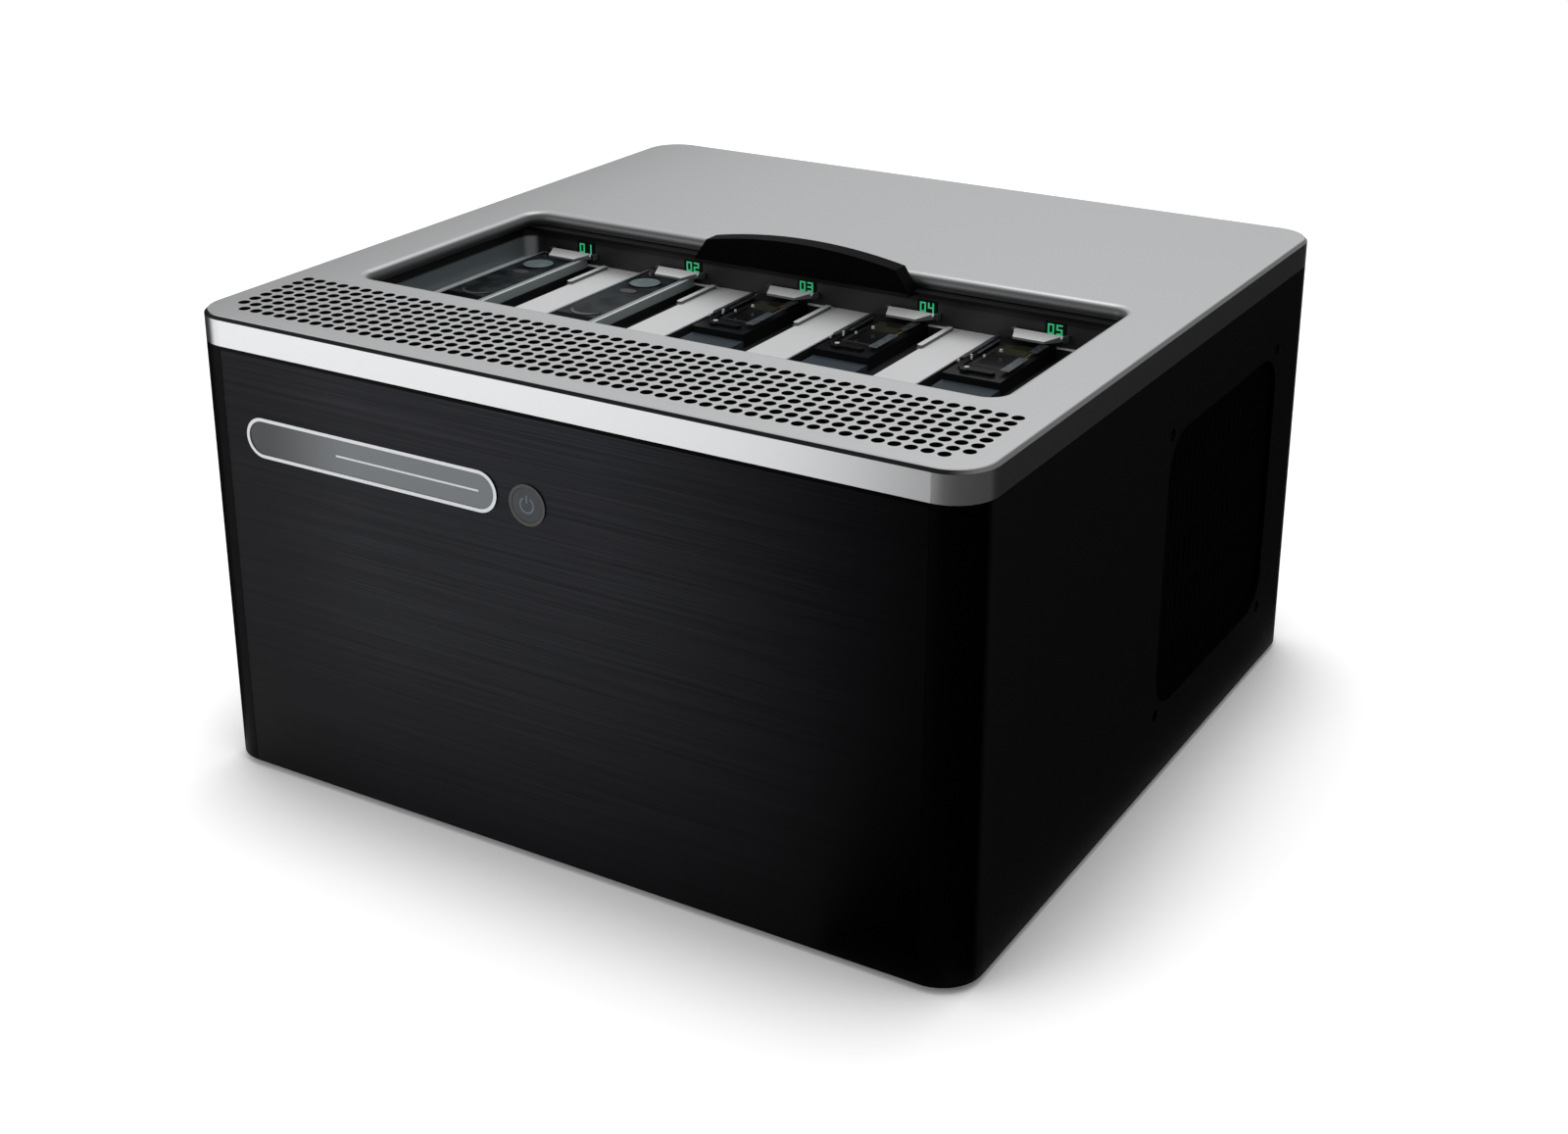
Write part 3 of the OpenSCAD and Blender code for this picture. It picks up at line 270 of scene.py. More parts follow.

# %% [markdown]
# ## Plain black
# The rear and the base are powder coated: darker than the front, with a fine orange-peel surface instead
# of strokes. The vents and the small black pieces take the same recipe with other numbers, so the
# recipe is a function. The sides have a coat of their own, a little lighter on the flat; round the
# corners they are painted nearly black, as painted shade for the dark reflection there.


# %% Powder coat and black plastic
def satin_black(name, shade, rough, peel, size, gloss=0.12):
    made = Finish(name, gloss=gloss)
    skin = made.noise(size, detail=3.0)
    low = tuple(v * 0.8 for v in shade)
    made.shade(colour=made.mix(skin, low, shade), rough=skin.ease(0.3, 0.7, rough - 0.05, rough + 0.05))
    made.bump(skin, 0.3, peel)
    return made


powder = satin_black("powder_coat", (0.0032, 0.0033, 0.0038), 0.45, 0.00006, 900)
vent_paint = satin_black("vent_paint", (0.002, 0.002, 0.0024), 0.5, 0.00006, 900)
plastic = satin_black("black_plastic", (0.014, 0.0145, 0.016), 0.5, 0.00003, 1400)
rubber = satin_black("foot_rubber", (0.018, 0.018, 0.018), 0.78, 0.0001, 700)
cover_paint = satin_black("cover_paint", (0.0026, 0.0027, 0.003), 0.34, 0.00001, 1200)
grip_black = satin_black("grip_black", (0.0007, 0.0007, 0.0008), 0.5, 0.00001, 1200, gloss=0.02)
dress(powder, "rear_panel", "base_pan")
dress(vent_paint, "side_vent_left", "side_vent_right")
dress(plastic, "cover_rails", "cell_docks", "button_switch", "fan_frames", "fan_rotor_left")
dress(plastic, "fan_rotor_right", "power_inlet", "rocker_switch", "graphics_card")
dress(rubber, "feet")
dress(cover_paint, "cover_sheet", "port_cover_3", "port_cover_4", "port_cover_5")
dress(grip_black, "cover_grip")

side_coat = Finish("side_coat", gloss=0.03)
side_skin = side_coat.noise(900, detail=3.0)
side_shade = side_coat.mix(side_skin, (0.0056, 0.0057, 0.006), (0.0074, 0.0075, 0.0079))
flat_side = side_coat.facing("X").size().ease(0.93, 0.999)
side_coat.shade(
    # painted shade: the rounded corners take near-black instead of the coat's own colour
    colour=side_coat.mix(flat_side, (0.0005, 0.0005, 0.0006), side_shade),
    rough=side_skin.ease(0.3, 0.7, 0.4, 0.5),
)
side_coat.bump(side_skin, 0.3, 0.00006)
dress(side_coat, "side_panel_left", "side_panel_right")

# %% [markdown]
# ## The silver top
# The cover is bead-blasted aluminium under a clear satin coat. It reflects the room softly, so most of its
# brightness comes from the lamps, and a very fine grain is put in the shader. Shade is painted into its
# colour
# in two places: the seam under the chamfer that runs round the top, and the rim of the window, which rolls
# down into the tray. The way a face points and its height tell them apart. The band is bright in front, with
# painted shade along the sides and darker painted shade round its left bend. The air grille is punched from
# the same metal, and its cut edges are painted black as shade.

# %% Satin silver
cover_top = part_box("top_cover")[1]


def blasted(name):
    made = Finish(name, metal=0.88)
    blast = made.noise(2600, detail=2.0)
    light = made.mix(blast.ease(0.25, 0.75), (0.5, 0.505, 0.512), (0.56, 0.565, 0.57))
    made.shade(rough=blast.ease(0.25, 0.75, 0.36, 0.44))
    made.bump(blast, 0.12, 0.00003)
    return made, light


silver, light = blasted("satin_silver")
# painted shade: black for the seam under the chamfer and for the punched hole edges
painted_shade_black = (0.012, 0.012, 0.013)
straight_end = 0.17
height = silver.along("Z")
from_middle = silver.along("X").size()
aside = from_middle > straight_end
outside = aside.either(silver.along("Y").size() > straight_end)
# painted shadow in the seam under the chamfer
seam_shadow = (height > cover_top.z - 0.0016) * (height < cover_top.z - 0.0003) * outside
seam_shadow = seam_shadow * from_middle.ease(0.172, 0.184, 1.0, 0.6)
# painted shade: the window rim darkens towards its foot, black where the tray's shadow falls
rim = (1 - silver.facing("Z").ease(0.6, 0.995)) * (1 - outside)
rim_depth = height.ease(cover_top.z - 0.005, cover_top.z - 0.0025)
rim_painted_shade = silver.mix(rim_depth, (0.004, 0.004, 0.004), (0.06, 0.062, 0.064))
# painted shade: the band is darker along its flat sides and darkest round its left bend
shaded_flat_beside = silver.facing("X").size().ease(0.94, 1.0) * aside
shaded_left_bend = (silver.facing("X") * -1).ease(0.12, 0.4) * aside
light = silver.mix(shaded_flat_beside, light, (0.2, 0.205, 0.215))
light = silver.mix(shaded_left_bend, light, (0.09, 0.092, 0.096))
silver.shade(
    colour=silver.mix(seam_shadow, silver.mix(rim, light, rim_painted_shade), painted_shade_black),
    metal=0.88 - rim * 0.83,
)
dress(silver, "top_cover")

punched, light = blasted("punched_silver")
# painted shade: faces that do not look up, the hole walls, are black
punched.shade(colour=punched.mix(punched.facing("Z") > 0.5, painted_shade_black, light))
dress(punched, "air_grille")

# %% [markdown]
# ## Metals inside and behind
# Sheet steel, brass and black steel differ in colour and roughness only, so one function makes
# them. A faint cloud in the roughness keeps a flat sheet from looking like a mirror.


# %% Plain metals
def metal(name, shade, rough, size=160):
    made = Finish(name, metal=1.0)
    cloud = made.noise(size, detail=3.0)
    made.shade(
        colour=made.mix(cloud, tuple(v * 0.9 for v in shade), shade),
        rough=cloud.ease(0.3, 0.7, rough - 0.06, rough + 0.06),
    )
    made.bump(cloud, 0.1, 0.00003)
    return made


steel = metal("sheet_steel", (0.5, 0.51, 0.52), 0.38)
black_steel = metal("black_steel", (0.05, 0.051, 0.054), 0.4)
brass = metal("contact_brass", (0.72, 0.52, 0.2), 0.3)
bright = metal("bright_rim", (0.5, 0.51, 0.525), 0.24, 400)
dress(steel, "corner_posts", "cpu_heatsink", "power_supply", "storage_drives", "io_ports")
dress(black_steel, "fan_guards")
dress(brass, "contact_blocks", "board_standoffs")
dress(bright, "badge_rim")

# %% [markdown]
# ## Clips and guide tabs
# The clips and the guide tabs are light satin plastic on top. Their sides are painted a darker grey as
# shade, so the colour follows the way each face points. The clips are the lighter of the two.


# %% Tab plastic
def shaded_sides_plastic(name, side, low, high, size, rough, gloss):
    """Light on the faces that look up, and painted shade in the side colour round the edges."""
    made = Finish(name, gloss=gloss)
    fleck = made.noise(size, detail=2.0)
    # painted shade: faces that do not look up take the darker side colour
    upward = made.facing("Z").ease(0.1, 0.6)
    made.shade(
        colour=made.mix(upward, side, made.mix(fleck, low, high)),
        rough=fleck.ease(0.3, 0.7, rough, rough + 0.1),
    )
    made.bump(fleck, 0.1, 0.00003)
    return made


tab_grey = shaded_sides_plastic("tab_grey", (0.1, 0.105, 0.108), (0.56, 0.565, 0.57), (0.64, 0.645, 0.65), 900, 0.42, 0.35)
clip_silver = shaded_sides_plastic(
    "clip_silver", (0.12, 0.125, 0.128), (0.76, 0.765, 0.76), (0.86, 0.865, 0.86), 700, 0.4, 0.4
)
dress(tab_grey, "guide_tabs")
dress(clip_silver, *[f"clip_{bay}" for bay in range(1, 6)])

# %% [markdown]
# ## Tray, deck and boards
# The tray round the bays is dark slate. Light and shade are painted into it: a nearly black rear wall as a
# painted dark reflection, a black upper edge under the cover as painted shadow, and a light streak in its
# rounded rear corners as a painted highlight. The deck is light and satin, and the shade in its slots is
# painted black, so the deck's colour depends on the height: only the top skin is light. Boards are green
# solder resist with faint tracks.

# %% Tray and deck
tray_paint = Finish("tray_paint", metal=0.35, gloss=0.4)
tray_skin = tray_paint.noise(1200, detail=2.0)
slate_wall = tray_paint.mix(tray_skin, (0.13, 0.157, 0.165), (0.17, 0.2, 0.21))
forward = tray_paint.facing("Y") * -1
# painted shadow: a black band along the top of the walls, under the cover
shaded_upper_edge = tray_paint.along("Z").ease(0.1988, 0.2002)
# painted highlight: a light streak where the walls round the rear corners
painted_corner_glint = forward.ease(0.2, 0.6) * tray_paint.facing("X").size().ease(0.2, 0.6)
# painted dark reflection: the rear wall, facing the front, is nearly black
wall_shade = tray_paint.mix(forward.ease(0.3, 0.9), slate_wall, (0.02, 0.0195, 0.0195))
wall_shade = tray_paint.mix(painted_corner_glint, wall_shade, (0.4, 0.42, 0.43))
tray_paint.shade(
    colour=tray_paint.mix(shaded_upper_edge, wall_shade, (0.003, 0.003, 0.003)),
    rough=tray_skin.ease(0.3, 0.7, 0.34, 0.42),
)
tray_paint.bump(tray_skin, 0.2, 0.00003)
dress(tray_paint, "bay_tray")

deck_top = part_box("deck_plate")[1].z
deck_paint = Finish("deck_paint", gloss=0.3)
deck_skin = deck_paint.noise(1500, detail=2.0)
skin_t = 0.0006
# painted shade: below the top skin the slot walls are near-black
above_slot_shade = deck_paint.along("Z") > deck_top - skin_t
deck_light = deck_paint.mix(deck_skin, (0.6, 0.605, 0.61), (0.66, 0.665, 0.67))
deck_paint.shade(
    colour=deck_paint.mix(above_slot_shade, (0.012, 0.013, 0.014), deck_light),
    rough=deck_skin.ease(0.3, 0.7, 0.42, 0.5),
)
deck_paint.bump(deck_skin, 0.15, 0.00003)
dress(deck_paint, "deck_plate")

resist = Finish("solder_resist", gloss=0.5)
tracks = resist.node("ShaderNodeTexBrick", {"offset": 0.5}, {"Vector": resist.spot(), "Scale": 160.0}, 1)
resist.shade(colour=resist.mix(tracks, (0.012, 0.075, 0.032), (0.02, 0.12, 0.05)), rough=0.35)
resist.bump(tracks, 0.2, 0.00004)
dress(resist, "carrier_board", "mainboard")

ribbon = Finish("flat_cable", gloss=0.4, rough=0.5)
cores = ribbon.node(
    "ShaderNodeTexWave", {"bands_direction": "X"}, {"Vector": ribbon.spot(), "Scale": 125.0}, 1
)
ribbon.shade(colour=ribbon.mix(cores, (0.2, 0.205, 0.21), (0.36, 0.365, 0.37)))
ribbon.bump(cores, 0.5, 0.0003)
dress(ribbon, "data_cable")

# %% [markdown]
# ## Cells
# Two bays hold test cells: a light body, with painted shadow black low on its sides, and a dark label plate.
# Three hold flow cells: a black block over a flat slate tab that reaches to the front. One mask along the
# depth splits the flow cell into its two colours, and another splits the sensor window into smoked and olive.

# %% Cell finishes
test_grey = Finish("test_cell_body", gloss=0.4, rough=0.45)
body_grain = test_grey.noise(700, detail=2.0)
light_side_h = 0.0042
# painted shadow: the sides are near-black below a light band under the top
shaded_low_side = test_grey.along("Z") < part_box("cell_body_1")[1].z - light_side_h
body_shade = test_grey.mix(body_grain, (0.2, 0.235, 0.235), (0.25, 0.29, 0.29))
test_grey.shade(colour=test_grey.mix(shaded_low_side, body_shade, (0.006, 0.0065, 0.007)))
test_grey.bump(body_grain, 0.15, 0.00003)
dress(test_grey, "cell_body_1", "cell_body_2")

label_film = clouded(
    "label_film", (0.003, 0.004, 0.005), (0.016, 0.021, 0.025), 110, 3.0, (0.4, 0.6), gloss=0.08, rough=0.4
)
dress(label_film, "cell_label_1", "cell_label_2")

flow_shell = Finish("flow_cell_shell", gloss=0.1)
flow_block_l = 0.05605
on_tab = flow_shell.along("Y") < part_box("cell_body_3")[1].y - flow_block_l
flow_skin = flow_shell.noise(600, detail=2.0)
block_shade = flow_shell.mix(flow_skin, (0.003, 0.0034, 0.0038), (0.007, 0.0078, 0.0088))
tab_shade = flow_shell.mix(flow_skin, (0.026, 0.035, 0.044), (0.038, 0.05, 0.061))
flow_shell.shade(colour=flow_shell.mix(on_tab, block_shade, tab_shade), rough=on_tab.ease(0, 1, 0.28, 0.5))
flow_shell.bump(flow_skin, 0.12, 0.00003)
dress(flow_shell, "cell_body_3", "cell_body_4", "cell_body_5")

sensor = Finish("sensor_window", gloss=0.4, rough=0.2)
sensor_grid = sensor.node(
    "ShaderNodeTexBrick", {"offset": 0.0}, {"Vector": sensor.spot(), "Scale": 420.0}, 1
)
smoked_l = 0.019
dark_end = sensor.along("Y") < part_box("cell_window_3")[0].y + smoked_l
olive = sensor.mix(sensor_grid, (0.014, 0.014, 0.006), (0.034, 0.033, 0.014))
smoked = sensor.mix(sensor_grid, (0.003, 0.0032, 0.0034), (0.007, 0.0075, 0.008))
sensor.shade(colour=sensor.mix(dark_end, olive, smoked))
dress(sensor, "cell_window_3", "cell_window_4", "cell_window_5")

# %% [markdown]
# ## Lit numbers, badge and button
# The bay numbers are lit from behind, so they give off light of their own, at a strength that stays green
# instead of burning to white. The badge is smooth grey with a painted sheen that fades darker towards its
# left end, and it has a bright rim. The button is a dark glassy cap.

# %% Numbers, badge and button
digits = clouded("lit_numbers", (0.01, 0.22, 0.08), (0.01, 0.3, 0.11), 900, 1.0, rough=0.4)
digits.shade(glow=(0.03, 0.42, 0.18), glow_strength=0.62)
number_glass = clouded(
    "number_window", (0.0006, 0.0016, 0.001), (0.001, 0.003, 0.0018), 300, gloss=0.1, rough=0.5
)
bezel_paint = clouded(
    "bezel_gloss", (0.008, 0.0085, 0.0095), (0.012, 0.0125, 0.0135), 500, gloss=0.5, rough=0.2
)
dress(digits, "bay_numbers")
dress(number_glass, "number_windows")
dress(bezel_paint, "button_bezel")

badge_paint = Finish("badge_paint", metal=0.3, rough=0.34, gloss=0.4)
badge_grain = badge_paint.noise(1200, detail=2.0)
badge_mid = (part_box("badge_plate")[0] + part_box("badge_plate")[1]) / 2
# painted sheen: the badge is brighter to the right and darkens towards its left end
badge_painted_sheen = badge_paint.along("X").ease(badge_mid.x - 0.06, badge_mid.x - 0.005)
badge_shade = badge_paint.mix(badge_painted_sheen, (0.026, 0.027, 0.029), (0.122, 0.131, 0.138))
badge_paint.shade(colour=badge_paint.mix(badge_grain * 0.15, badge_shade, (0.1, 0.106, 0.109)))
badge_paint.bump(badge_grain, 0.1, 0.00003)
dress(badge_paint, "badge_plate")

button_glass = Finish("button_glass", gloss=0.3, coat=0.25)
button_cloud = button_glass.noise(120, detail=2.0)
button_glass.shade(
    colour=button_glass.mix(button_cloud.ease(0.3, 0.7), (0.004, 0.0055, 0.0075), (0.009, 0.012, 0.016)),
    rough=button_cloud.ease(0.3, 0.7, 0.22, 0.32),
)
dress(button_glass, "power_button")

# %% [markdown]
# ## Making new pieces
# A new piece is drawn in the frame's own metres with its object at the origin, as the CAD nodes are. Outlines
# are swept into thin plates by one function: it takes a closed ring of points in a plane and the way to
# lift. Others make the rings: an arc, a full ring, an oval and a rectangle.


# %% Piece helpers
def ready_mesh(piece):
    """A plain mesh of what a piece's modifiers or curve make of it."""
    ready = piece.evaluated_get(bpy.context.evaluated_depsgraph_get())
    return bpy.data.meshes.new_from_object(ready)


def settle(piece, body, finish, smooth=False):
    """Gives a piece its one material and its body."""
    piece.data.materials.clear()
    piece.data.materials.append(finish.material)
    for face in piece.data.polygons:
        face.use_smooth = smooth
    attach(piece, body)
    return piece


def link(name, data):
    """A new object at the origin."""
    made = bpy.data.objects.new(name, data)
    bpy.context.scene.collection.objects.link(made)
    return made


def keep(name, build, body, finish):
    """Turns a bmesh into a finished piece that rides on a body."""
    bmesh.ops.remove_doubles(build, verts=build.verts, dist=1e-7)
    bmesh.ops.recalc_face_normals(build, faces=build.faces)
    mesh = bpy.data.meshes.new(name)
    build.to_mesh(mesh)
    build.free()
    return settle(link(name, mesh), body, finish)


def plate(build, outer, lift, inner=None):
    """A plate from a ring of points to the same ring moved by lift, with an optional hole."""
    lift = Vector(lift)
    low = [build.verts.new(p) for p in outer]
    high = [build.verts.new(Vector(p) + lift) for p in outer]
    count = len(outer)
    for k in range(count):
        j = (k + 1) % count
        build.faces.new((low[k], low[j], high[j], high[k]))
    if inner is None:
        build.faces.new(list(reversed(low)))
        build.faces.new(high)
        return
    low_in = [build.verts.new(p) for p in inner]
    high_in = [build.verts.new(Vector(p) + lift) for p in inner]
    for k in range(count):
        j = (k + 1) % count
        build.faces.new((low_in[j], low_in[k], high_in[k], high_in[j]))
        build.faces.new((high[k], high[j], high_in[j], high_in[k]))
        build.faces.new((low[j], low[k], low_in[k], low_in[j]))


def arc(centre, radius, start, end, count, up=(0, 1, 0)):
    """Points along an arc in the plane of +X and up, angles in degrees."""
    points = []
    for k in range(count):
        turn = math.radians(start + (end - start) * k / (count - 1))
        reach = Vector((radius * math.cos(turn), 0, 0)) + Vector(up) * (radius * math.sin(turn))
        points.append(Vector(centre) + reach)
    return points


def ring(centre, radius, count=40, up=(0, 1, 0)):
    return arc(centre, radius, 0, 360 - 360 / count, count, up)


def oval(centre, wide, deep, count=32):
    """A flat ellipse with half sizes wide and deep."""
    points = []
    for k in range(count):
        turn = 2 * math.pi * k / count
        points.append(Vector(centre) + Vector((wide * math.cos(turn), deep * math.sin(turn), 0)))
    return points


def box_ring(x0, y0, x1, y1, z):
    """A level rectangle from corner to corner."""
    return [(x0, y0, z), (x1, y0, z), (x1, y1, z), (x0, y1, z)]


def lay(name, bay, outer, thick, finish, inner=None):
    """A flat plate that lies on a cell and rides with it."""
    build = bmesh.new()
    plate(build, outer, (0, 0, thick), inner)
    return keep(name, build, f"cell_{bay}", finish)


# %% [markdown]
# ## Geometry Nodes for what repeats
# Screws, grille wires, socket contacts and board parts are one small shape set down many times. A Geometry
# Nodes tree does that from a few named sizes: it puts an instance on every point, makes the instances
# real and sets the material. The result is copied to a plain mesh, so nothing live is left behind.


# %% Geometry Nodes helpers
class Layout:
    """A Geometry Nodes tree that ends in Realize Instances and Set Material."""

    def __init__(self, name, sizes):
        self.tree = bpy.data.node_groups.new(name, "GeometryNodeTree")
        self.tree.interface.new_socket("Geometry", in_out="OUTPUT", socket_type="NodeSocketGeometry")
        self.tree.interface.new_socket("Points", in_out="INPUT", socket_type="NodeSocketGeometry")
        self.keys = {}
        for label, (kind, value) in sizes.items():
            socket = self.tree.interface.new_socket(label, in_out="INPUT", socket_type=kind)
            if value is not None:
                socket.default_value = value
            self.keys[label] = socket.identifier
        self.given = self.tree.nodes.new("NodeGroupInput")

    def node(self, kind, settings=None, inputs=None):
        made = self.tree.nodes.new(kind)
        for key, value in (settings or {}).items():
            setattr(made, key, value)
        for key, value in (inputs or {}).items():
            if isinstance(value, bpy.types.NodeSocket):
                self.tree.links.new(value, made.inputs[key])
            else:
                made.inputs[key].default_value = value
        return made

    def end(self, instances, finish):
        real = self.node("GeometryNodeRealizeInstances", {}, {0: instances})
        painted = self.node("GeometryNodeSetMaterial", {}, {0: real.outputs[0]})
        painted.inputs["Material"].default_value = finish.material
        out = self.tree.nodes.new("NodeGroupOutput")
        self.tree.links.new(painted.outputs[0], out.inputs[0])

    def make(self, name, points, body, finish, facings=None, values=None):
        """Runs the tree on a cloud of points and keeps the result as a plain piece."""
        cloud = bpy.data.meshes.new(name)
        cloud.from_pydata([tuple(p) for p in points], [], [])
        if facings:
            layer = cloud.attributes.new("facing", "FLOAT_VECTOR", "POINT")
            for k, facing in enumerate(facings):
                layer.data[k].vector = facing
        piece = link(name, cloud)
        modifier = piece.modifiers.new("layout", "NODES")
        modifier.node_group = self.tree
        for label, value in (values or {}).items():
            modifier[self.keys[label]] = value
        mesh = ready_mesh(piece)
        piece.modifiers.remove(modifier)
        piece.data = mesh
        print(name, len(points), "copies,", len(mesh.polygons), "faces")
        return settle(piece, body, finish)


# %% [markdown]
# ### Screws
# A panel screw is a low domed head with a socket in it. One head is turned from a profile, and the tree
# puts it on each screw's place and turns it to face out of its panel. The new screws stand for
# the plain CAD discs.


# %% Screw head
def screw_head(name, radius, height):
    """A domed head with a six-sided socket, its seat at z = 0 and its top towards +Z."""
    build = bmesh.new()
    sides = 24
    sixth = math.pi / 3
    profile = [(1.0, 0.0), (1.0, 0.45), (0.93, 0.75), (0.74, 1.0), (0.46, 1.0), (0.43, 0.3), (0.0, 0.3)]
    rows = []
    for share, level in profile:
        z = level * height
        if share == 0.0:
            rows.append([build.verts.new((0, 0, z))])
            continue
        row = []
        for k in range(sides):
            turn = 2 * math.pi * k / sides
            reach = share * radius
            if share < 0.5:
                reach *= math.cos(sixth / 2) / math.cos(turn % sixth - sixth / 2)
            row.append(build.verts.new((reach * math.cos(turn), reach * math.sin(turn), z)))
        rows.append(row)
    for low, high in zip(rows, rows[1:]):
        for k in range(sides):
            j = (k + 1) % sides
            if len(high) == 1:
                build.faces.new((low[k], low[j], high[0]))
            else:
                build.faces.new((low[k], low[j], high[j], high[k]))
    build.faces.new(list(reversed(rows[0])))
    mesh = bpy.data.meshes.new(name)
    build.to_mesh(mesh)
    build.free()
    return bpy.data.objects.new(name, mesh)


head = screw_head("screw_pattern", 0.0026, 0.0012)
place_heads = Layout("place_heads", {"Head": ("NodeSocketObject", None)})
head_info = place_heads.node("GeometryNodeObjectInfo", {}, {"Object": place_heads.given.outputs["Head"]})
facing = place_heads.node(
    "GeometryNodeInputNamedAttribute", {"data_type": "FLOAT_VECTOR"}, {"Name": "facing"}
)
aim = place_heads.node("FunctionNodeAlignRotationToVector", {"axis": "Z"}, {"Vector": facing.outputs[0]})
set_down = place_heads.node(
    "GeometryNodeInstanceOnPoints",
    {},
    {
        "Points": place_heads.given.outputs["Points"],
        "Instance": head_info.outputs["Geometry"],
        "Rotation": aim.outputs[0],
    },
)
place_heads.end(set_down.outputs[0], black_steel)

def islands(node):
    """The box of each separate solid of a CAD node, found from a merged copy."""
    build = bmesh.new()
    build.from_mesh(nodes[node].data)
    bmesh.ops.remove_doubles(build, verts=build.verts, dist=1e-6)
    left = set(build.verts)
    found = []
    while left:
        stack = [left.pop()]
        island = list(stack)
        while stack:
            vert = stack.pop()
            for edge in vert.link_edges:
                other = edge.other_vert(vert)
                if other in left:
                    left.remove(other)
                    stack.append(other)
                    island.append(other)
        low = Vector([min(v.co[a] for v in island) for a in range(3)])
        high = Vector([max(v.co[a] for v in island) for a in range(3)])
        found.append((low, high))
    build.free()
    return found


screw_spots = []
screw_facings = []
disc_t = 0.003
for low, high in islands("case_screws"):
    middle = (low + high) / 2
    if high.x - low.x < disc_t:
        side = 1 if middle.x > 0 else -1
        screw_spots.append((low.x if side > 0 else high.x, middle.y, middle.z))
        screw_facings.append((side, 0, 0))
    else:
        screw_spots.append((middle.x, low.y, middle.z))
        screw_facings.append((0, 1, 0))
panel_screws = place_heads.make(
    "panel_screws", screw_spots, "housing", black_steel, screw_facings, {"Head": head}
)
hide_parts("case_screws")

# %% [markdown]
# ### Dust screen
# Behind the punched holes lies a fine woven screen that keeps dust out and makes the holes look dark. Its
# wires are thin bars, one set each way. The bar is a cube that the tree scales by two named sizes.

# %% Grille screen
bars = Layout("bars", {"Size": ("NodeSocketVector", (0.001, 0.001, 0.001))})
bar = bars.node("GeometryNodeMeshCube", {}, {"Size": bars.given.outputs["Size"]})
lay_bars = bars.node(
    "GeometryNodeInstanceOnPoints",
    {},
    {"Points": bars.given.outputs["Points"], "Instance": bar.outputs[0]},
)
bars.end(lay_bars.outputs[0], vent_paint)

grille_low, grille_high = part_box("air_grille")
screen_mid = (grille_low + grille_high) / 2
screen_edge = 0.0045
screen_w = grille_high.x - grille_low.x - screen_edge
screen_d = grille_high.y - grille_low.y - screen_edge
wire_w = 0.0009
wire_t = 0.0006
wire_step = 0.0032
screen_z = grille_low.z - wire_t
columns = int(screen_w / wire_step)
rows = int(screen_d / wire_step)
across = []
for k in range(columns + 1):
    across.append((screen_mid.x + (k - columns / 2) * wire_step, screen_mid.y, screen_z))
along = []
for k in range(rows + 1):
    along.append((screen_mid.x, screen_mid.y + (k - rows / 2) * wire_step, screen_z - wire_t))
for name, spots, size in (
    ("screen_wires_a", across, (wire_w, screen_d, wire_t)),
    ("screen_wires_b", along, (screen_w, wire_w, wire_t)),
):
    bars.make(name, spots, "housing", vent_paint, values={"Size": size})

# %% [markdown]
# ### Contacts and board parts
# The same bar tree makes the spring contacts in the network sockets, the gold pads beside each sensor window
# and the rows of small parts on the mainboard. Only the points and the size change.

# %% Contacts, pads and parts
contacts = []
contact_step = 0.00102
contact_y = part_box("io_ports")[0].y + 0.0085
for socket_x in (-0.146, -0.125):
    for k in range(8):
        contacts.append((socket_x + (k - 3.5) * contact_step, contact_y, 0.0246))
contact_size = (0.0004, 0.011, 0.0004)
bars.make("network_contacts", contacts, "housing", brass, values={"Size": contact_size})

pad_size = (0.0011, 0.0005, 0.00012)
for bay in (3, 4, 5):
    low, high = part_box(f"cell_window_{bay}")
    pads = []
    for k in range(14):
        y = low.y + 0.004 + k * (high.y - low.y - 0.008) / 13
        pads.append((high.x + 0.0012, y, high.z + 0.00004))
    bars.make(f"sensor_pads_{bay}", pads, f"cell_{bay}", brass, values={"Size": pad_size})

part_size = (0.005, 0.007, 0.0022)
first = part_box("mainboard")[0] + Vector((0.012, 0.012, 0))
part_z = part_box("io_ports")[0].z + part_size[2] / 2
parts = []
for row in range(4):
    for k in range(9):
        parts.append((first.x + k * 0.0075, first.y + row * 0.011, part_z))
bars.make("board_parts", parts, "housing", plastic, values={"Size": part_size})

# %% [markdown]
# ## Details on the test cells
# On the label plate of a test cell lies a round blue-grey disc with a raised edge, a small oval, a
# crescent of painted highlight on a black patch near the front end, and a bright screw beside the clip.
# A thin bright strip along the right edge is a painted highlight on that edge.

# %% Test cell details
disc_blue = clouded(
    "disc_blue", (0.11, 0.145, 0.152), (0.16, 0.2, 0.205), 220, 3.0, (0.3, 0.7), gloss=0.5, rough=0.3
)
streak_grey = clouded(
    "streak_grey", (0.035, 0.034, 0.042), (0.06, 0.058, 0.07), 300, gloss=0.4, rough=0.35
)
painted_edge_highlight = clouded("painted_edge_highlight", (0.55, 0.57, 0.57), (0.66, 0.68, 0.68), 500, gloss=0.5, rough=0.35)

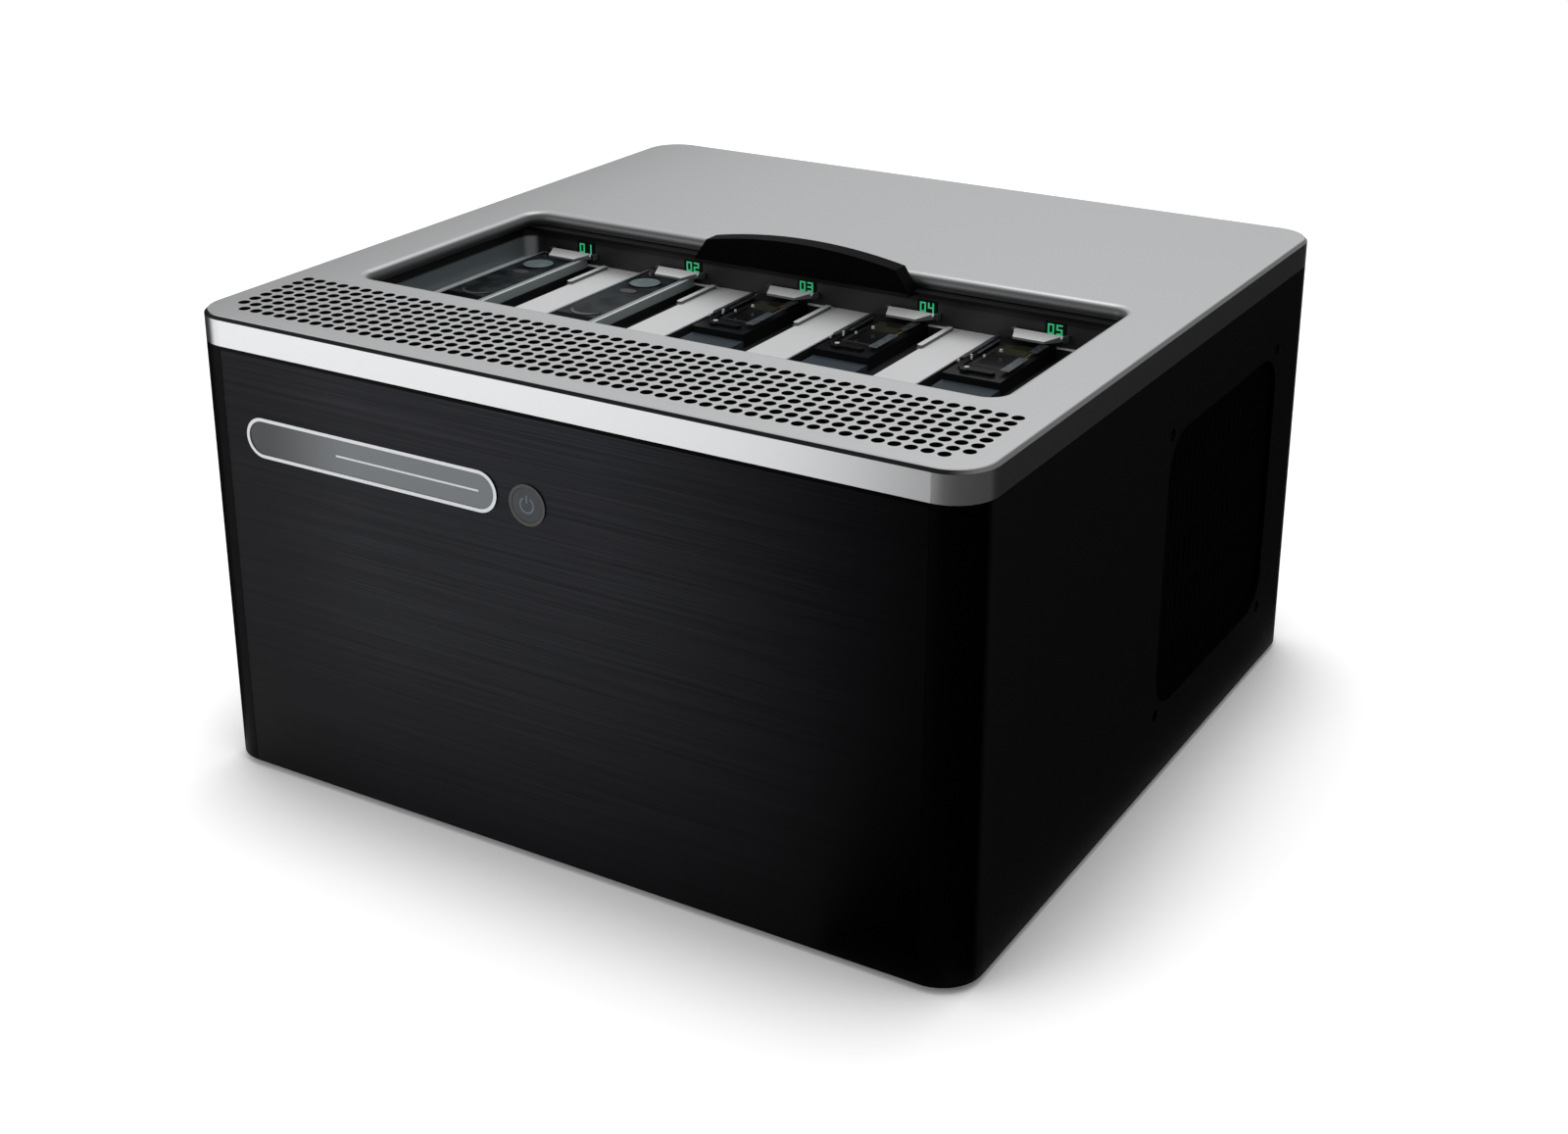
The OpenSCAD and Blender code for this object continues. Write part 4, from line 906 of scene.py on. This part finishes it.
for bay in (1, 2):
    low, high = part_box(f"cell_body_{bay}")
    label_low, label_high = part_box(f"cell_label_{bay}")
    mid_x = (low.x + high.x) / 2
    top = label_high.z
    centre = (mid_x - 0.0015, high.y - 0.0195, top)
    screw_spot = (mid_x - 0.0078, high.y - 0.0052, top)
    oval_spot = (mid_x - 0.001, high.y - 0.034, top)
    # painted highlight: a thin grey crescent on the black patch
    painted_crescent = arc((mid_x, label_low.y + 0.030, top), 0.0078, 200, 340, 28)
    painted_crescent += arc((mid_x, label_low.y + 0.0325, top), 0.0082, 335, 205, 28)
    patch_y = label_low.y + 0.0015
    patch = box_ring(label_low.x + 0.001, patch_y, label_high.x - 0.001, patch_y + 0.020, top)
    # painted highlight: a thin bright strip along the cell's top right edge
    edge = box_ring(high.x - 0.0012, low.y + 0.001, high.x - 0.0001, high.y - 0.001, high.z)
    lay(f"label_disc_{bay}", bay, ring(centre, 0.0072), 0.0003, disc_blue)
    lay(f"disc_rim_{bay}", bay, ring(centre, 0.0081), 0.0005, label_film, ring(centre, 0.0073))
    lay(f"label_screw_{bay}", bay, ring(screw_spot, 0.0013, 20), 0.0007, bright)
    lay(f"label_crescent_{bay}", bay, painted_crescent, 0.0004, streak_grey)
    lay(f"label_streak_{bay}", bay, oval(oval_spot, 0.0044, 0.0028), 0.0003, streak_grey)
    lay(f"label_patch_{bay}", bay, patch, 0.0002, grip_black)
    lay(f"cell_ridge_{bay}", bay, edge, 0.0002, painted_edge_highlight)
    print("test cell", bay, "top at", round(high.z, 4))

# %% [markdown]
# ## Details on the flow cells
# A flow cell has a channel that runs beside the sensor towards the filling port. It is a thin tube that
# follows a path, so it is a curve: six points make the path and a bevel gives it its thickness. It ends, and
# the frame round the sensor window stays very thin, where the port cover turns over them. Ridges and
# small white dots lie to the left of the window, a strip and a grey patch to its right, and a white seal
# on the cover's pin.


# %% Flow cell details
def tube(name, points, radius, body, finish):
    """A round tube along a smooth path, kept as a plain mesh."""
    curve = bpy.data.curves.new(name, "CURVE")
    curve.dimensions = "3D"
    curve.bevel_depth = radius
    curve.bevel_resolution = 3
    curve.use_fill_caps = True
    spline = curve.splines.new("NURBS")
    spline.points.add(len(points) - 1)
    for spot, point in zip(spline.points, points):
        spot.co = (*point, 1.0)
    spline.use_endpoint_u = True
    spline.order_u = 4
    spline.resolution_u = 8
    drawn = link(name + "_path", curve)
    mesh = ready_mesh(drawn)
    bpy.data.objects.remove(drawn)
    return settle(link(name, mesh), body, finish, smooth=True)


def soften(piece, width):
    """Rounds the edges of a piece and keeps the result as its mesh."""
    edge = piece.modifiers.new("edge", "BEVEL")
    edge.width = width
    edge.segments = 2
    edge.limit_method = "ANGLE"
    rounded = ready_mesh(piece)
    piece.modifiers.clear()
    piece.data = rounded


seal_white = clouded("seal_white", (0.4, 0.41, 0.41), (0.52, 0.52, 0.52), 800, gloss=0.5, rough=0.35)
slate_strip = clouded(
    "slate_strip", (0.035, 0.045, 0.05), (0.075, 0.09, 0.098), 260, 2.0, (0.3, 0.7), gloss=0.4, rough=0.35
)
hatch_grey = clouded(
    "hatch_grey", (0.008, 0.009, 0.01), (0.035, 0.037, 0.042), 420, 3.0, (0.35, 0.65), gloss=0.35, rough=0.4
)

flow_dots = (
    (-0.0100, 0.0355, 0.00055),
    (-0.0084, 0.0385, 0.0004),
    (-0.0050, 0.0333, 0.0005),
    (-0.0021, 0.0231, 0.0007),
    (-0.0118, 0.0440, 0.0005),
)
for bay in (3, 4, 5):
    body = f"cell_{bay}"
    low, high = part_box(f"cell_window_{bay}")
    cell_low, cell_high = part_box(f"cell_body_{bay}")
    top = high.z
    frame_w = 0.0009
    outer = box_ring(low.x - frame_w, low.y - frame_w, high.x + frame_w * 0.2, high.y + frame_w, top)
    inner = box_ring(low.x + frame_w, low.y + frame_w, high.x - frame_w, high.y - frame_w, top)
    lay(f"sensor_frame_{bay}", bay, outer, 0.00008, plastic, inner)
    channel_z = top + 0.0003
    path = [
        (low.x - 0.0022, high.y - 0.002, channel_z),
        (low.x - 0.0026, high.y - 0.014, channel_z),
        (low.x - 0.0030, low.y + 0.012, channel_z),
        (low.x - 0.0026, low.y - 0.001, channel_z),
        (low.x - 0.0022, low.y - 0.005, channel_z),
        (low.x - 0.0019, low.y - 0.008, channel_z),
    ]
    tube(f"flow_channel_{bay}", path, 0.0007, body, cover_paint)
    cell_x = (cell_low.x + cell_high.x) / 2
    end_y = cell_high.y
    face = cell_high.z
    strip = box_ring(cell_x + 0.0083, end_y - 0.0465, cell_x + 0.0125, end_y - 0.027, face)
    hatch = box_ring(cell_x + 0.0086, end_y - 0.018, cell_x + 0.0126, end_y - 0.0065, face)
    lay(f"flow_strip_{bay}", bay, strip, 0.0003, slate_strip)
    lay(f"flow_hatch_{bay}", bay, hatch, 0.0004, hatch_grey)
    build = bmesh.new()
    left_ridge = box_ring(cell_x - 0.0128, end_y - 0.040, cell_x - 0.0108, end_y - 0.005, face)
    right_ridge = box_ring(cell_x - 0.0096, end_y - 0.031, cell_x - 0.0084, end_y - 0.010, face)
    plate(build, left_ridge, (0, 0, 0.0009))
    plate(build, right_ridge, (0, 0, 0.0006))
    soften(keep(f"flow_ridges_{bay}", build, body, hatch_grey), 0.00025)
    build = bmesh.new()
    for dot_x, dot_y, dot_r in flow_dots:
        plate(build, ring((cell_x + dot_x, end_y - dot_y, face), dot_r, 16), (0, 0, 0.0010))
    keep(f"flow_dots_{bay}", build, body, seal_white)
    pin_low, pin_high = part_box(f"port_cover_{bay}")
    pin = (pin_low.x + 0.003, pin_low.y + 0.003, pin_high.z + 0.0001)
    lay(f"port_seal_{bay}", bay, ring(pin, 0.0011, 24), 0.0004, seal_white)

# %% [markdown]
# ## Marks on the front
# The button carries the usual sign for standby: an open ring with a bar through the gap. The badge has one
# thin light line. Both are thin plates laid on the surface, and the sign rides on the button, so
# it goes in when the button is pressed.

# %% Button sign and badge line
print_t = 0.00008
sign_paint = clouded("button_sign", (0.04, 0.065, 0.095), (0.06, 0.09, 0.13), 600, rough=0.35)
sign_paint.shade(glow=(0.1, 0.18, 0.3), glow_strength=0.12)
line_paint = clouded("badge_line", (0.5, 0.51, 0.52), (0.62, 0.63, 0.64), 600, rough=0.4, gloss=0.5)


def upright_ring(x0, x1, y, z0, z1):
    """A rectangle that faces the front."""
    return [(x0, y, z0), (x1, y, z0), (x1, y, z1), (x0, y, z1)]


button_low, button_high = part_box("power_button")
button_face = button_low.y
button_x = (button_low.x + button_high.x) / 2
button_z = (button_low.z + button_high.z) / 2
button_mid = (button_x, button_face, button_z)
bar = upright_ring(button_x - 0.0003, button_x + 0.0003, button_face, button_z + 0.0008, button_z + 0.0042)
open_ring = arc(button_mid, 0.0035, 120, 420, 36, (0, 0, 1))
open_ring += arc(button_mid, 0.0029, 420, 120, 36, (0, 0, 1))
build = bmesh.new()
plate(build, open_ring, (0, -print_t, 0))
plate(build, bar, (0, -print_t, 0))
keep("standby_sign", build, "power_button", sign_paint)

badge_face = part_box("badge_plate")[0].y
build = bmesh.new()
line = upright_ring(-0.106, -0.032, badge_face, badge_mid.z - 0.0004, badge_mid.z + 0.0004)
plate(build, line, (0, -print_t, 0))
keep("badge_line", build, "housing", line_paint)

# %% [markdown]
# ## Marks on the rocker
# A mains rocker has a bar for on and a ring for off. They ride on the rocker and lie on its tilted face.

# %% Rocker marks
rocker_joint = [j for j in frame["joints"] if j["child"] == "rocker_switch"][0]
pivot = Vector(rocker_joint["pos_m"])
tilt = Matrix.Rotation(math.radians(-7), 4, "X")


def on_rocker(x, z):
    """A point on the rocker's face, x and z from the pivot before it is tilted."""
    return pivot + tilt @ Vector((x, 0.006, z))


out = tilt @ Vector((0, 0.0001, 0))
up = tilt @ Vector((0, 0, 1))
ring_spot = on_rocker(0, -0.005)
bar = [on_rocker(x, z) for x, z in ((-0.0003, 0.0035), (0.0003, 0.0035), (0.0003, 0.0065), (-0.0003, 0.0065))]
build = bmesh.new()
plate(build, bar, out)
plate(build, ring(ring_spot, 0.0017, 28, up), out, ring(ring_spot, 0.0012, 28, up))
keep("rocker_marks", build, "rocker_switch", seal_white)

# %% [markdown]
# ## Studio
# The object stands on a white floor under a white sky. The floor adds a little light of its own to what
# the camera and reflections see, so that it reads as white while the object's shadow stays, and that
# light fades where the object stands close, which keeps the contact shadow dark.

# %% Floor
bpy.context.scene.view_settings.view_transform = "Standard"



def combine(tree, operation, first, second):
    """A Math node on two sockets, or on a socket and a number."""
    made = tree.nodes.new("ShaderNodeMath")
    made.operation = operation
    for place, value in zip(made.inputs, (first, second)):
        if isinstance(value, bpy.types.NodeSocket):
            tree.links.new(value, place)
        else:
            place.default_value = value
    return made.outputs[0]


reach = 6.0
glow_level = 0.5
corners = box_ring(-reach, -reach, reach, reach, 0)
floor_mesh = bpy.data.meshes.new("floor")
floor_mesh.from_pydata(corners, [], [(0, 1, 2, 3)])
floor = link("floor", floor_mesh)
floor_paint = bpy.data.materials.new("floor_white")
floor_paint.use_nodes = True
floor_tree = floor_paint.node_tree
floor_tree.nodes.clear()
floor_out = floor_tree.nodes.new("ShaderNodeOutputMaterial")
floor_add = floor_tree.nodes.new("ShaderNodeAddShader")
floor_diffuse = floor_tree.nodes.new("ShaderNodeBsdfDiffuse")
floor_diffuse.inputs["Color"].default_value = (0.8, 0.8, 0.8, 1)
floor_glow = floor_tree.nodes.new("ShaderNodeEmission")
rays = floor_tree.nodes.new("ShaderNodeLightPath").outputs
near = floor_tree.nodes.new("ShaderNodeAmbientOcclusion")
near.samples = 12
near.inputs["Distance"].default_value = 0.085
fade = floor_tree.nodes.new("ShaderNodeMapRange")
fade.interpolation_type = "SMOOTHSTEP"
fade.inputs["From Min"].default_value = 0.42
fade.inputs["From Max"].default_value = 1.0
seen = combine(floor_tree, "MAXIMUM", rays["Is Camera Ray"], rays["Is Glossy Ray"])
seen = combine(floor_tree, "MAXIMUM", seen, rays["Is Transmission Ray"])
glow = combine(floor_tree, "MULTIPLY", seen, glow_level)
glow = combine(floor_tree, "MULTIPLY", glow, fade.outputs[0])
for start, end in (
    (near.outputs["AO"], fade.inputs["Value"]),
    (glow, floor_glow.inputs["Strength"]),
    (floor_diffuse.outputs[0], floor_add.inputs[0]),
    (floor_glow.outputs[0], floor_add.inputs[1]),
    (floor_add.outputs[0], floor_out.inputs["Surface"]),
):
    floor_tree.links.new(start, end)
floor_mesh.materials.append(floor_paint)

# %% [markdown]
# The picture's right side and both upright corners are almost pure black, as dark card beside an object
# makes them. Black velvet stands round the right corner and beside the left one, and lies between
# them and the body. It is seen by reflections alone, so the picture's background stays white and the
# floor's shadow stays soft.

# %% Velvet
side_x = cad_box[1][0]
front_y = cad_box[0][1]
far_y = 1.2
low_z = 0.0005
right_x = side_x + 0.13
right_y = front_y - 0.17
right_top = 0.32
left_x = -side_x - 0.1
left_y = front_y - 0.03
left_top = 0.26
body_gap = 0.004
velvet_points = [
    (0.06, right_y, low_z),
    (right_x, right_y, low_z),
    (right_x, far_y, low_z),
    (0.06, right_y, right_top),
    (right_x, right_y, right_top),
    (right_x, far_y, right_top),
    (side_x + body_gap, front_y - body_gap, low_z),
    (side_x + body_gap, far_y, low_z),
    (0.12, front_y - body_gap, low_z),
    (left_x, left_y, low_z),
    (left_x, far_y, low_z),
    (left_x, far_y, left_top),
    (left_x, left_y, left_top),
    (-side_x - body_gap, front_y + 0.01, low_z),
    (-side_x - body_gap, far_y, low_z),
]
velvet_faces = [(0, 1, 4, 3), (1, 2, 5, 4), (1, 6, 7, 2), (0, 8, 6, 1), (9, 10, 11, 12), (9, 13, 14, 10)]
velvet_mesh = bpy.data.meshes.new("velvet")
velvet_mesh.from_pydata(velvet_points, [], velvet_faces)
velvet = link("velvet", velvet_mesh)
velvet_black = bpy.data.materials.new("velvet_black")
velvet_black.use_nodes = True
velvet_shader = velvet_black.node_tree.nodes["Principled BSDF"]
velvet_shader.inputs["Base Color"].default_value = (0.004, 0.004, 0.004, 1)
velvet_shader.inputs["Specular IOR Level"].default_value = 0.0
velvet_mesh.materials.append(velvet_black)
velvet.visible_camera = False
velvet.visible_diffuse = False
velvet.visible_shadow = False
velvet.visible_transmission = False

# %% [markdown]
# The sky is pure white to the camera and dimmer as a light and in reflections. A broad lamp stands in front,
# to the left, and another hangs above the rear.

# %% World and lamps
sky_level = 0.71
world = bpy.data.worlds.new("studio")
bpy.context.scene.world = world
world.use_nodes = True
sky = world.node_tree
backdrop = sky.nodes["Background"]
backdrop.inputs["Color"].default_value = (1, 1, 1, 1)
sky_rays = sky.nodes.new("ShaderNodeLightPath").outputs
sky_seen = combine(sky, "MAXIMUM", sky_rays["Is Camera Ray"], sky_rays["Is Transmission Ray"])
sky.links.new(combine(sky, "MAXIMUM", sky_seen, sky_level), backdrop.inputs["Strength"])


def lamp(name, place, target, size, watts):
    """A rectangular area lamp at place that points at target."""
    data = bpy.data.lights.new(name, "AREA")
    data.shape = "RECTANGLE"
    data.size = size[0]
    data.size_y = size[1]
    data.energy = watts
    made = link(name, data)
    made.location = place
    aimed = Vector(target) - Vector(place)
    made.rotation_euler = aimed.to_track_quat("-Z", "Y").to_euler()


lamp("front_left_lamp", (-0.9, -1.3, 0.45), (-0.05, -0.1, 0.15), (1.1, 0.6), 9)
lamp("top_lamp", (-0.05, 0.5, 1.4), (0, 0, 0.2), (0.9, 0.9), 5)
